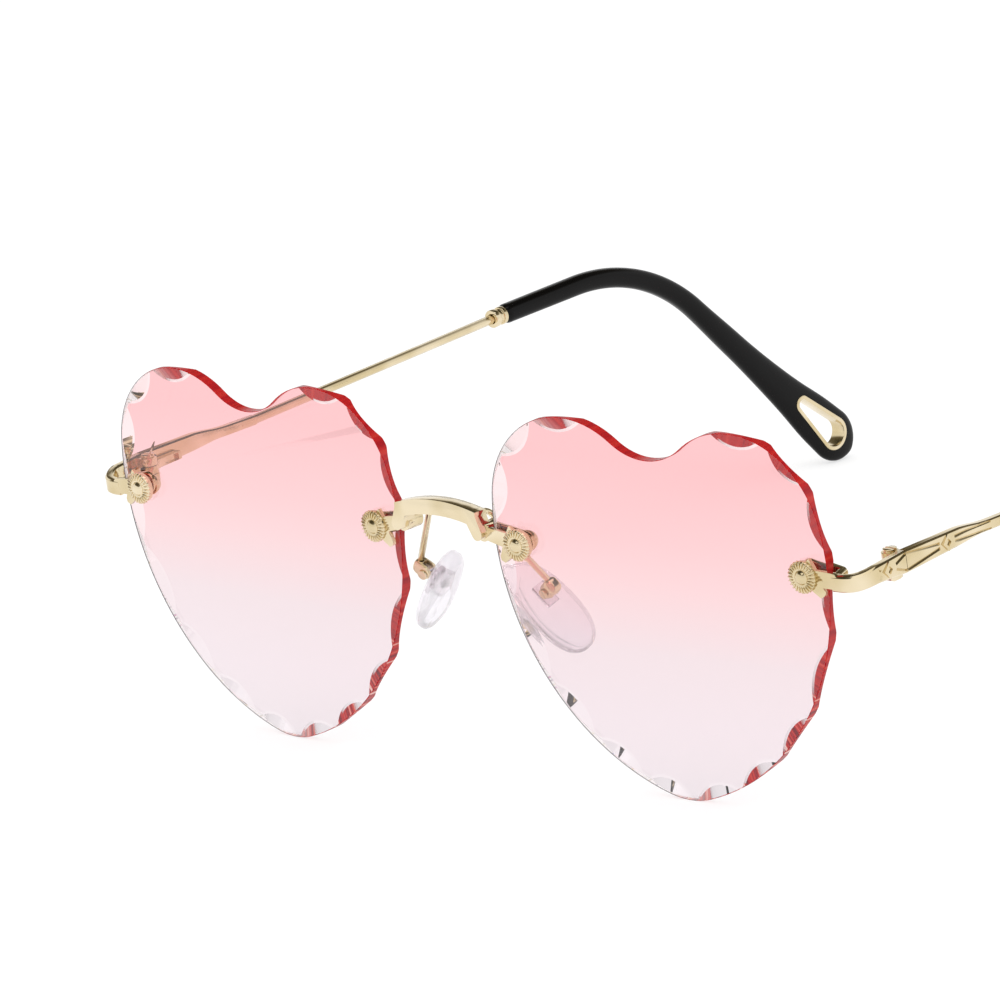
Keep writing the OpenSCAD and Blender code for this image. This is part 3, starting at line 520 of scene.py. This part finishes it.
def between(table, x):
    """Value at x in a table of (place, value), joined by straight lines."""
    for (x0, y0), (x1, y1) in zip(table, table[1:]):
        if x <= x1:
            return y0 + (y1 - y0) * (x - x0) / (x1 - x0)
    return table[-1][1]


def temple_middle(y):
    """Height of the middle of hinge, panel and rod at a place along Y, both in millimetres."""
    return HINGE_AT[2] + (y - HINGE_AT[1]) * math.tan(math.radians(TEMPLE_RISE))


def cut_across(work, places):
    """Cuts a mesh's faces and edges along planes square to Y, at places in millimetres."""
    for y in places:
        bmesh.ops.bisect_plane(work, geom=work.verts[:] + work.edges[:] + work.faces[:], plane_no=(0, 1, 0),
                               plane_co=(0, y * MM, 0))


def raise_panel(mesh):
    """Lifts a panel above its straight bar, makes it taller, and narrows it to the rod in a short neck."""
    work = bmesh.new()
    work.from_mesh(mesh)
    cut_across(work, NECK_CUTS)
    for vertex in work.verts:
        y = vertex.co.y / MM
        comes = min(1, max(0, (y - PANEL_FRONT) / PANEL_COMES))
        share = comes * min(1, max(0, (PANEL_REAR - y) / PANEL_GOES))
        share = share * share * (3 - 2 * share)
        middle = temple_middle(y) * MM
        behind = max(y, HINGE_AT[1])
        narrowed = between(PANEL_NARROWED, behind) / between(PANEL_STRAIGHT, behind)
        offset = (vertex.co.z - middle) * narrowed * (1 + share * PANEL_STRETCH)
        vertex.co.z = middle + offset + share * PANEL_LIFT * MM
    work.to_mesh(mesh)
    work.free()


def trim_leaf(mesh, way):
    """Cuts down the leaf of a hinge half, which reaches one way along Y behind the panel."""
    work = bmesh.new()
    work.from_mesh(mesh)
    cut_across(work, [HINGE_AT[1] + way * reach for reach in LEAF_STEP])
    for vertex in work.verts:
        y = vertex.co.y / MM
        if (y - HINGE_AT[1]) * way > sum(LEAF_STEP) / 2:
            middle = temple_middle(y)
            vertex.co.z = min(middle + LEAF_TOP, max(middle + LEAF_FOOT, vertex.co.z / MM)) * MM
    bmesh.ops.remove_doubles(work, verts=work.verts, dist=WELD * MM)
    bmesh.ops.dissolve_degenerate(work, edges=work.edges, dist=WELD * MM)
    work.to_mesh(mesh)
    work.free()


# Width of the broken edge of each kind of hard part, in millimetres
BROKEN_EDGES = {"bridge": 0.12, "endpiece": 0.07, "inner_nut": 0.1, "outer_nut": 0.1, "inner_washer": 0.04,
                "outer_washer": 0.04, "nose_arm": 0.03, "pad_screw": 0.05, "pad_insert": 0.08,
                "front_hinge": 0.08, "hinge_screw": 0.06, "temple_hinge": 0.08, "temple": 0.07,
                "tip_collar": 0.1}


def broken_part(node, kind):
    """A CAD node's part with its edges broken to a small radius, its panel raised or its leaf cut down."""
    mesh = welded(node)
    if kind in ("front_hinge", "temple_hinge"):
        trim_leaf(mesh, 1 if kind == "temple_hinge" else -1)
    if kind in ("endpiece", "temple"):
        raise_panel(mesh)
    made = shown(node + "_finished", mesh)
    edge = made.modifiers.new("edge", "BEVEL")
    edge.width = BROKEN_EDGES[kind] * MM
    edge.segments = 2
    edge.limit_method = "ANGLE"
    edge.angle_limit = math.radians(SHARP_TURN)
    edge.harden_normals = True
    mesh.shade_smooth()
    dress(settled(made), FINISH[SLOT_OF[node]])
    fit(made, node)


for part in nodes:
    part_kind = part.rsplit("_", 1)[0]
    if part_kind in BROKEN_EDGES:
        broken_part(part, part_kind)

# Pad box: the voxels of its skin in millimetres, and the power that rounds it from a box towards an egg
BOX_VOXEL = 0.07
BOX_POWER = 3.2


def cast_box(side_name):
    """The pad box as a little casting: all its outer corners drawn in to a cushion."""
    node = "pad_box_" + side_name
    made = shown(node + "_cast", welded(node))
    skin = made.modifiers.new("skin", "REMESH")
    skin.mode = "VOXEL"
    skin.voxel_size = BOX_VOXEL * MM
    mesh = settled(made)
    here = pad_frame(SIDES[side_name])
    mesh.transform(here.inverted())
    corners = [vertex.co for vertex in mesh.vertices]
    low = Vector([min(co[k] for co in corners) for k in range(3)])
    high = Vector([max(co[k] for co in corners) for k in range(3)])
    middle, half = (low + high) / 2, (high - low) / 2
    for vertex in mesh.vertices:
        place = [abs(vertex.co[k] - middle[k]) / half[k] for k in range(3)]
        size = sum(length ** BOX_POWER for length in place) ** (1 / BOX_POWER)
        if size > 0:
            vertex.co = middle + (vertex.co - middle) * (max(place) / size)
    mesh.transform(here)
    mesh.shade_smooth()
    dress(mesh, gold)
    fit(made, node)


# Edges of a lens by their turn in degrees: below the first they belong to the wave, below the second they
# part a cut from a face, and above it they part the wall. Chamfer at a cut in millimetres, and the wall's
# share of it
WAVE_TURN = 18
CUT_TURN = 40
CHAMFER = 0.28
WALL_CHAMFER = 0.35
# Share of a face's normal that points through the lens: above these on flat faces and on cuts, below it on
# the wall
FLAT_LEAN = 0.999
CUT_LEAN = 0.8
WALL_LEAN = 0.15
# Mean radius of the lens's edge, and the border between its two halves, which parts the red from the painted
# light and shade of the far half: upright up to a height over the lens's middle, then leaning over to the
# left, as seen from the front, by a width to a rise
EDGE_RADIUS = 26
BORDER_FROM = 6
BORDER_WIDTH = 29
BORDER_RISE = 28


def heart_lens(side_name):
    """One lens: its front, dyed rear, cuts, wall and chamfers, with attributes for the look of its edge."""
    node = "lens_" + side_name
    mesh = welded(node)
    work = bmesh.new()
    work.from_mesh(mesh)
    share = work.edges.layers.float.new("bevel_weight_edge")
    for edge in work.edges:
        turn = math.degrees(edge.calc_face_angle(0))
        edge[share] = 0 if turn < WAVE_TURN else 1 if turn < CUT_TURN else WALL_CHAMFER
    work.to_mesh(mesh)
    work.free()
    made = shown(node + "_polished", mesh)
    edge = made.modifiers.new("chamfer", "BEVEL")
    edge.width = CHAMFER * MM
    edge.segments = 1
    edge.limit_method = "WEIGHT"
    mesh = settled(made)
    dress(mesh, lens_front, lens_rear, lens_facet, lens_wall, lens_chamfer)
    here = lens_frame(SIDES[side_name])
    through = here.to_3x3() @ Vector((0, 1, 0))
    for face in mesh.polygons:
        lean = face.normal.dot(through)
        if abs(lean) > FLAT_LEAN:
            face.material_index = 1 if lean > 0 else 0
        else:
            face.material_index = 2 if abs(lean) > CUT_LEAN else 3 if abs(lean) < WALL_LEAN else 4
    back = here.inverted()
    front = min((back @ vertex.co).y for vertex in mesh.vertices) / MM
    places = [back @ vertex.co / MM for vertex in mesh.vertices]
    # The attributes place the painted streaks along the edge, the painted far half and its painted grey shade
    # line at the front
    known = {"edge_run": [math.atan2(place.z, place.x) * EDGE_RADIUS for place in places],
             "edge_side": [place.x / BORDER_WIDTH + max(0, place.z - BORDER_FROM) / BORDER_RISE
                           for place in places],
             "edge_depth": [(place.y - front) / LENS_THICK for place in places]}
    for name, values in known.items():
        mesh.attributes.new(name, "FLOAT", "POINT").data.foreach_set("value", values)
    smooth(mesh, degrees=13)
    fit(made, node)


for side_name in SIDES:
    cast_box(side_name)
for side_name in SIDES:
    heart_lens(side_name)


# Rings of beads, flutes and ribs by geometry nodes

def group(name, inputs):
    """A new geometry tree with named inputs beside its geometry, and the sockets that hand them on."""
    tree = bpy.data.node_groups.new(name, "GeometryNodeTree")
    tree.interface.new_socket("Geometry", in_out="OUTPUT", socket_type="NodeSocketGeometry")
    tree.interface.new_socket("Geometry", in_out="INPUT", socket_type="NodeSocketGeometry")
    for label, kind in inputs.items():
        tree.interface.new_socket(label, in_out="INPUT", socket_type="NodeSocket" + kind)
    return tree, add(tree, "NodeGroupInput").outputs


def finish_tree(tree, geometry, finish):
    """Ends a tree with real geometry, its material and the output."""
    whole = add(tree, "GeometryNodeRealizeInstances", {"Geometry": geometry}).outputs["Geometry"]
    dressed = add(tree, "GeometryNodeSetMaterial",
                  {"Geometry": whole, "Material": finish}).outputs["Geometry"]
    add(tree, "NodeGroupOutput", {"Geometry": dressed})


def run_tree(made, tree, values):
    """Puts a tree on an object, with its inputs set by their sockets' identifiers."""
    step = made.modifiers.new(tree.name, "NODES")
    step.node_group = tree
    for socket in tree.interface.items_tree:
        if socket.in_out == "INPUT" and socket.name in values:
            step[socket.identifier] = values[socket.name]


def bead_ring_tree():
    """Joins to a body of revolution about Z a ring of long beads that point away from its axis."""
    tree, given = group("bead_ring", {"Count": "Int", "Ring Radius": "Float", "Height": "Float",
                                      "Bead Size": "Vector", "Tilt": "Rotation", "Finish": "Material"})
    ring = add(tree, "GeometryNodeMeshCircle", {"Vertices": given["Count"], "Radius": given["Ring Radius"]})
    lift = add(tree, "ShaderNodeCombineXYZ", {"Z": given["Height"]}).outputs["Vector"]
    bead = add(tree, "GeometryNodeMeshUVSphere", {"Segments": 10, "Rings": 6, "Radius": 1.0}).outputs["Mesh"]
    outwards = add(tree, "FunctionNodeAlignRotationToVector",
                   {"Vector": add(tree, "GeometryNodeInputPosition").outputs["Position"]}, axis="X")
    turn = add(tree, "FunctionNodeRotateRotation", {"Rotation": outwards.outputs["Rotation"],
                                                    "Rotate By": given["Tilt"]}, rotation_space="LOCAL")
    beads = add(tree, "GeometryNodeInstanceOnPoints", {
        "Points": ring.outputs["Mesh"], "Instance": bead, "Rotation": turn.outputs["Rotation"],
        "Scale": given["Bead Size"]}).outputs["Instances"]
    lifted = add(tree, "GeometryNodeTransform", {"Geometry": beads, "Translation": lift}).outputs["Geometry"]
    both = add(tree, "GeometryNodeJoinGeometry").inputs["Geometry"]
    tree.links.new(lifted, both)
    tree.links.new(given["Geometry"], both)
    finish_tree(tree, both.node.outputs["Geometry"], given["Finish"])
    return tree


def lathe(name, profile, steps):
    """A closed body of revolution about Z from a profile of (radius, height) in millimetres."""
    work = bmesh.new()
    line = [work.verts.new((r * MM, 0, z * MM)) for r, z in profile]
    edges = [work.edges.new(pair) for pair in zip(line, line[1:])]
    bmesh.ops.spin(work, geom=line + edges, cent=(0, 0, 0), axis=(0, 0, 1), angle=2 * math.pi, steps=steps,
                   use_duplicate=False)
    mesh = bpy.data.meshes.new(name)
    work.to_mesh(mesh)
    work.free()
    face_outward(mesh)
    return mesh


# Lens screw from its dome at the front to the end of its shank, as (radius, height over the lens face), and
# the steps round it
ROSETTE = ((0, 1.58), (0.3, 1.56), (0.58, 1.48), (0.78, 1.33), (0.9, 1.14), (1.02, 1.06), (1.14, 1.09),
           (1.26, 1.16), (1.5, 1.12), (2.0, 1.0), (2.14, 0.86), (2.2, 0.6), (0.7, 0.6), (0.7, -3.2),
           (0, -3.24))
ROSETTE_STEPS = 48
# Rings of the rosette: how many, at which radius and height, bead's half sizes, tilt of the bead in degrees
ROSETTE_RINGS = ((24, 1.7, 1.12, (0.5, 0.13, 0.2), 6), (24, 2.12, 0.84, (0.3, 0.14, 0.14), 64))


def rosette_mesh():
    """The screw with its ring of radial flutes and its ribbed flank, about Z."""
    made = shown("rosette", lathe("rosette", ROSETTE, ROSETTE_STEPS))
    tree = bead_ring_tree()
    for count, radius, height, size, tilt in ROSETTE_RINGS:
        run_tree(made, tree, {"Count": count, "Ring Radius": radius * MM, "Height": height * MM,
                              "Bead Size": [length * MM for length in size],
                              "Tilt": (0, math.radians(tilt), 0), "Finish": gold})
    mesh = settled(made)
    smooth(mesh, degrees=40)
    bpy.data.objects.remove(made)
    return mesh


rosette = rosette_mesh()
for side_name, side in SIDES.items():
    for which, (x, z) in SCREWS.items():
        mesh = rosette.copy()
        mesh.transform(lens_frame(side) @ Matrix.Translation((side * x * MM, 0, z * MM)) @ turned(90, "X"))
        fit(shown(f"{which}_rosette_{side_name}", mesh), f"{which}_screw_{side_name}")


# Tips swept by geometry nodes along their centre line

def smoothly_between(table, x):
    """Value at x in a table of (place, value), along a smooth curve through all of its places."""
    k = max(i for i in range(len(table) - 1) if table[i][0] <= x or i == 0)
    (x0, y0), (x1, y1) = table[k], table[k + 1]

    def slope(i):
        low, high = table[max(i - 1, 0)], table[min(i + 1, len(table) - 1)]
        return (high[1] - low[1]) / (high[0] - low[0])

    t = (x - x0) / (x1 - x0)
    return ((2 * t ** 3 - 3 * t ** 2 + 1) * y0 + (t ** 3 - 2 * t ** 2 + t) * (x1 - x0) * slope(k)
            + (3 * t ** 2 - 2 * t ** 3) * y1 + (t ** 3 - t ** 2) * (x1 - x0) * slope(k + 1))


def tip_heading(s):
    """Heading of the tip's centre line in degrees, at a distance from the collar."""
    def share(low, high):
        return min(1, max(0, (s - low) / (high - low)))

    bend = TIP_BEND * share(TIP_START, TIP_BEND_END)
    return TEMPLE_RISE - bend + TIP_SWEEP * share(TIP_RUN_END, TIP_LENGTH)


# Rows along the tip and round its flat end; how far its edge is rounded in at the collar, at which share of
# the rounding it begins and over what length it runs; and the share of its thickness that the flat end keeps
TIP_STEPS = 150
CAP_STEPS = 14
BLUNT = 0.5
BLUNT_START = 0.1
BLUNT_REACH = 0.4
CAP_THICK = 0.4


def tip_rows():
    """Rows of the tip's skin as (y, z, thickness, height, heading), closed at both ends."""
    step = TIP_LENGTH / TIP_STEPS
    y = z = 0.0
    rows = [(0, 0, 0, 0, TEMPLE_RISE),
            (0, 0, TIP_THICKS[0][1] - BLUNT, TIP_HEIGHTS[0][1] - BLUNT, TEMPLE_RISE)]
    for i in range(TIP_STEPS + 1):
        s = i * step
        start = min(1, BLUNT_START + s / BLUNT_REACH)
        blunt = BLUNT * (1 - math.sqrt(1 - (1 - start) ** 2))
        rows.append((y, z, between(TIP_THICKS, s) - blunt, smoothly_between(TIP_HEIGHTS, s) - blunt,
                     tip_heading(s)))
        ahead = math.radians(tip_heading(s + step / 2))
        if i < TIP_STEPS:
            y, z = y + step * math.cos(ahead), z + step * math.sin(ahead)
    end = math.radians(tip_heading(TIP_LENGTH))
    for i in range(1, CAP_STEPS + 1):
        a = math.pi / 2 * i / CAP_STEPS
        reach = PADDLE_REACH * math.sin(a)
        thick = TIP_THICKS[-1][1] * (CAP_THICK + (1 - CAP_THICK) * math.cos(a)) if i < CAP_STEPS else 0
        rows.append((y + reach * math.cos(end), z + reach * math.sin(end), thick,
                     TIP_HEIGHTS[-1][1] * math.cos(a), math.degrees(end)))
    return rows


def tip_sweep_tree():
    """Sweeps an oval, squarer than an ellipse, along points whose section gives its size and heading."""
    tree, given = group("tip_sweep", {"Sides": "Int", "Squareness": "Float", "Finish": "Material"})
    line = given["Geometry"]
    rows = add(tree, "GeometryNodeAttributeDomainSize", {"Geometry": line}).outputs["Point Count"]
    columns = add(tree, "ShaderNodeMath", {0: given["Sides"], 1: 1.0}, operation="ADD").outputs["Value"]
    grid = add(tree, "GeometryNodeMeshGrid", {"Vertices X": rows, "Vertices Y": columns}).outputs["Mesh"]
    index = add(tree, "GeometryNodeInputIndex").outputs["Index"]
    passed = add(tree, "ShaderNodeMath", {0: index, 1: columns}, operation="DIVIDE").outputs["Value"]
    row = add(tree, "ShaderNodeMath", {0: passed}, operation="FLOOR").outputs["Value"]
    before = add(tree, "ShaderNodeMath", {0: row, 1: columns}, operation="MULTIPLY").outputs["Value"]
    column = add(tree, "ShaderNodeMath", {0: index, 1: before}, operation="SUBTRACT").outputs["Value"]
    share = add(tree, "ShaderNodeMath", {0: column, 1: given["Sides"]}, operation="DIVIDE").outputs["Value"]
    angle = add(tree, "ShaderNodeMath", {0: share, 1: 2 * math.pi}, operation="MULTIPLY").outputs["Value"]
    place = add(tree, "GeometryNodeInputPosition").outputs["Position"]
    section = add(tree, "GeometryNodeInputNamedAttribute", {"Name": "section"}, data_type="FLOAT_VECTOR")
    middle, size = (add(tree, "GeometryNodeSampleIndex", {"Geometry": line, "Value": source, "Index": row},
                        data_type="FLOAT_VECTOR", domain="POINT").outputs["Value"]
                    for source in (place, section.outputs["Attribute"]))
    thick, high, heading = add(tree, "ShaderNodeSeparateXYZ", {"Vector": size}).outputs

    def reach(wave, length):
        """How far the oval's skin lies from its middle along one of its lengths."""
        part = add(tree, "ShaderNodeMath", {0: angle}, operation=wave).outputs["Value"]
        bare = add(tree, "ShaderNodeMath", {0: part}, operation="ABSOLUTE").outputs["Value"]
        full = add(tree, "ShaderNodeMath",
                   {0: bare, 1: given["Squareness"]}, operation="POWER").outputs["Value"]
        sign = add(tree, "ShaderNodeMath", {0: part}, operation="SIGN").outputs["Value"]
        signed = add(tree, "ShaderNodeMath", {0: full, 1: sign}, operation="MULTIPLY").outputs["Value"]
        half = add(tree, "ShaderNodeMath", {0: length, 1: 0.5}, operation="MULTIPLY").outputs["Value"]
        return add(tree, "ShaderNodeMath", {0: signed, 1: half}, operation="MULTIPLY").outputs["Value"]

    across, up = reach("COSINE", thick), reach("SINE", high)
    sine, cosine = (add(tree, "ShaderNodeMath", {0: heading}, operation=wave).outputs["Value"]
                    for wave in ("SINE", "COSINE"))
    lean = add(tree, "ShaderNodeMath", {0: sine, 1: -1.0}, operation="MULTIPLY").outputs["Value"]
    along, aloft = (add(tree, "ShaderNodeMath", {0: up, 1: slope}, operation="MULTIPLY").outputs["Value"]
                    for slope in (lean, cosine))
    offset = add(tree, "ShaderNodeCombineXYZ", {"X": across, "Y": along, "Z": aloft}).outputs["Vector"]
    moved = add(tree, "ShaderNodeVectorMath", {0: middle, 1: offset}, operation="ADD").outputs["Vector"]
    skin = add(tree, "GeometryNodeSetPosition", {"Geometry": grid, "Position": moved}).outputs["Geometry"]
    closed = add(tree, "GeometryNodeMergeByDistance",
                 {"Geometry": skin, "Distance": SEAM * MM}).outputs["Geometry"]
    finish_tree(tree, closed, given["Finish"])
    return tree


# Steps round each end of the eye, and the prism that cuts it: how far it lies inside the eye, and its half
# length
EYE_STEPS = 32
CUTTER_INSET = 0.03
CUTTER_REACH = 4


def eye_outline(inset):
    """Points (y, z) of the eye's teardrop in the tip's frame, moved in by an inset."""
    lean = math.acos((EYE_R - EYE_POINT_R) / EYE_LENGTH)
    heading = math.radians(EYE_TURN)
    points = []
    for middle, radius, start, stop in ((0, EYE_R, lean, 2 * math.pi - lean),
                                        (EYE_LENGTH, EYE_POINT_R, -lean, lean)):
        for i in range(EYE_STEPS + 1):
            a = start + (stop - start) * i / EYE_STEPS
            u, v = middle + (radius - inset) * math.cos(a), (radius - inset) * math.sin(a)
            points.append((EYE_AT[0] - u * math.cos(heading) - v * math.sin(heading),
                           EYE_AT[1] - u * math.sin(heading) + v * math.cos(heading)))
    return points


def loft(name, loops, closed):
    """A skin over loops of points in millimetres, joined first to last or capped."""
    work = bmesh.new()
    rings = [[work.verts.new([length * MM for length in point]) for point in loop] for loop in loops]
    for first, second in zip(rings, rings[1:] + (rings[:1] if closed else [])):
        for i in range(len(first)):
            k = (i + 1) % len(first)
            work.faces.new((first[i], first[k], second[k], second[i]))
    if not closed:
        work.faces.new(rings[0])
        work.faces.new(rings[-1])
    mesh = bpy.data.meshes.new(name)
    work.to_mesh(mesh)
    work.free()
    face_outward(mesh)
    return mesh


def eye_cutter():
    """A prism through the tip, a hair smaller than the lining."""
    outline = eye_outline(CUTTER_INSET)
    ends = [[(x, y, z) for y, z in outline] for x in (-CUTTER_REACH, CUTTER_REACH)]
    return shown("eye_cutter", loft("eye_cutter", ends, closed=False))


# Section of the eye's lining: half depth as a share, and inset as a share of the wall
LINING = ((1.0, 0.3), (1.0, 0.7), (0.93, 1.0), (0.4, 1.15), (-0.4, 1.15), (-0.93, 1.0), (-1.0, 0.7),
          (-1.0, 0.3), (-0.93, 0.0), (-0.85, 0.0), (0.85, 0.0), (0.93, 0.0))


def lining_mesh():
    """The metal lining of the eye: a teardrop ring with rolled lips."""
    loops = [[(x * EYE_DEPTH, y, z) for y, z in eye_outline(inset * EYE_WALL)] for x, inset in LINING]
    return loft("lining", loops, closed=True)


def swept_tip():
    """The acetate tip in its own frame, with its eye cut through."""
    rows = tip_rows()
    mesh = bpy.data.meshes.new("tip")
    edges = [(i, i + 1) for i in range(len(rows) - 1)]
    mesh.from_pydata([(0, y * MM, z * MM) for y, z, _, _, _ in rows], edges, [])
    section = mesh.attributes.new("section", "FLOAT_VECTOR", "POINT")
    for i, (_, _, thick, high, heading) in enumerate(rows):
        section.data[i].vector = (thick * MM, high * MM, math.radians(heading))
    made = shown("tip", mesh)
    run_tree(made, tip_sweep_tree(), {"Sides": 32, "Squareness": 0.8, "Finish": acetate})
    face_outward(settled(made))
    cutter = eye_cutter()
    cut = made.modifiers.new("eye", "BOOLEAN")
    cut.operation = "DIFFERENCE"
    cut.object = cutter
    cut.solver = "EXACT"
    mesh = settled(made)
    for spare in (made, cutter):
        bpy.data.objects.remove(spare)
    return mesh


tip_frame = Matrix.Translation(MM * Vector(TIP_AT)) @ turned(TIP_TOE, "Z")
tip, lining = swept_tip(), lining_mesh()
for side_name in SIDES:
    fit_copy(tip, side_name, "acetate_tip", "temple_tip", tip_frame, acetate, degrees=38)
    fit_copy(lining, side_name, "eye_lining", "tip_eye", tip_frame, gold, degrees=38)


# Nose pads

PAD_LENGTH = 15
PAD_WIDTH = 7.4
PAD_THICK = 3.0
PAD_MIDDLE = (-2.7, 0, -1.8)
# Vertices round the pad and steps from its skin side to its back; the powers that fill its outline, its flank
# and its crown; and the share by which it narrows to its top and widens to its foot
PAD_AROUND = 64
PAD_STEPS = 20
PAD_OUTLINE = 0.88
PAD_FLANK = 0.42
PAD_CROWN = 0.75
PAD_EGG = 0.1


def signed_power(value, power):
    """A value's size to a power, with the value's own sign."""
    return math.copysign(abs(value) ** power, value)


def pad_mesh():
    """A cushion in the pad's frame: egg shaped outline, full edge, crowned on both sides."""
    work = bmesh.new()
    grid = []
    for j in range(1, PAD_STEPS):
        a = math.pi * j / PAD_STEPS
        reach = math.sin(a) ** PAD_FLANK
        x = -signed_power(math.cos(a), PAD_CROWN) * PAD_THICK / 2
        ring = []
        for i in range(PAD_AROUND):
            t = 2 * math.pi * i / PAD_AROUND
            y = signed_power(math.cos(t), PAD_OUTLINE) * PAD_WIDTH / 2 * (1 - PAD_EGG * math.sin(t))
            z = signed_power(math.sin(t), PAD_OUTLINE) * PAD_LENGTH / 2
            ring.append(work.verts.new((x * MM, y * reach * MM, z * reach * MM)))
        grid.append(ring)
    poles = [work.verts.new((s * PAD_THICK / 2 * MM, 0, 0)) for s in (-1, 1)]
    for first, second in zip(grid, grid[1:]):
        for i in range(PAD_AROUND):
            k = (i + 1) % PAD_AROUND
            work.faces.new((first[i], first[k], second[k], second[i]))
    for pole, ring in ((poles[0], grid[0]), (poles[1], grid[-1])):
        for i in range(PAD_AROUND):
            work.faces.new((pole, ring[i], ring[(i + 1) % PAD_AROUND]))
    mesh = bpy.data.meshes.new("nose_pad")
    work.to_mesh(mesh)
    work.free()
    mesh.transform(Matrix.Translation(MM * Vector(PAD_MIDDLE)))
    return mesh


cushion = pad_mesh()
for side_name in SIDES:
    fit_copy(cushion, side_name, "silicone_pad", "nose_pad", pad_frame(1), silicone, degrees=60)


# Camera, table and lights

# Colours that reflections see in the room, from level with the object to straight above it
ROOM_STOPS = ((0.0, "#FFFFFF"), (0.4, "#FFFFFF"), (0.55, "#6C6450"), (0.8, "#3C3828"))


def camera():
    """The photograph's camera."""
    azimuth, elevation, roll = (math.radians(a) for a in (CAMERA_AZIMUTH, CAMERA_ELEVATION, CAMERA_ROLL))
    back = Vector((math.sin(azimuth) * math.cos(elevation), -math.cos(azimuth) * math.cos(elevation),
                   math.sin(elevation)))
    level = Vector((math.cos(azimuth), math.sin(azimuth), 0))
    upright = level.cross(-back)
    right = math.cos(roll) * level + math.sin(roll) * upright
    up = math.cos(roll) * upright - math.sin(roll) * level
    lens = bpy.data.cameras.new("camera")
    lens.sensor_width = SENSOR
    lens.lens = FOCAL_PIXELS / IMAGE_PIXELS * SENSOR
    lens.clip_start = 0.01
    eye = bpy.data.objects.new("camera", lens)
    turn = Matrix((right, up, back)).transposed().to_4x4()
    eye.matrix_world = Matrix.Translation(MM * (Vector(CAMERA_TARGET) + CAMERA_DISTANCE * back)) @ turn
    bpy.context.scene.collection.objects.link(eye)
    bpy.context.scene.camera = eye


def table():
    """A wide pale table top at the object's foot."""
    bpy.ops.mesh.primitive_plane_add(size=8)
    top = bpy.context.object
    top.name = "table"
    top.data.materials.append(material("white_board", white_table))


def lamp(name, place, size, watts):
    """A square soft box that looks at the middle of the object."""
    light = bpy.data.lights.new(name, "AREA")
    light.size = size
    light.energy = watts
    lamp_object = bpy.data.objects.new(name, light)
    lamp_object.location = place
    lamp_object.rotation_euler = (Vector(place)).to_track_quat("Z", "Y").to_euler()
    bpy.context.scene.collection.objects.link(lamp_object)


def studio_world():
    """Even white light; reflections see white walls up to a dark ceiling."""
    world = bpy.data.worlds.new("studio")
    world.use_nodes = True
    tree = world.node_tree
    tree.nodes.clear()
    way = add(tree, "ShaderNodeTexCoord").outputs["Generated"]
    height = add(tree, "ShaderNodeSeparateXYZ", {"Vector": way}).outputs["Z"]
    walls = add(tree, "ShaderNodeValToRGB", {"Fac": height}, stops=ROOM_STOPS).outputs["Color"]
    path = add(tree, "ShaderNodeLightPath").outputs
    mirror = add(tree, "ShaderNodeMath", {0: path["Is Glossy Ray"], 1: path["Is Transmission Ray"]},
                 operation="SUBTRACT", use_clamp=True).outputs["Value"]
    colour = add(tree, "ShaderNodeMix", {"Factor": mirror, "A": (1, 1, 1, 1), "B": walls}, data_type="RGBA")
    sky = add(tree, "ShaderNodeBackground", {"Color": colour.outputs["Result"], "Strength": 1.0})
    add(tree, "ShaderNodeOutputWorld", {"Surface": sky.outputs["Background"]})
    bpy.context.scene.world = world


camera()
table()
studio_world()
lamp("soft_box_above", place=(0.35, -0.25, 1.1), size=1.2, watts=5)
bpy.context.scene.view_settings.view_transform = "Standard"
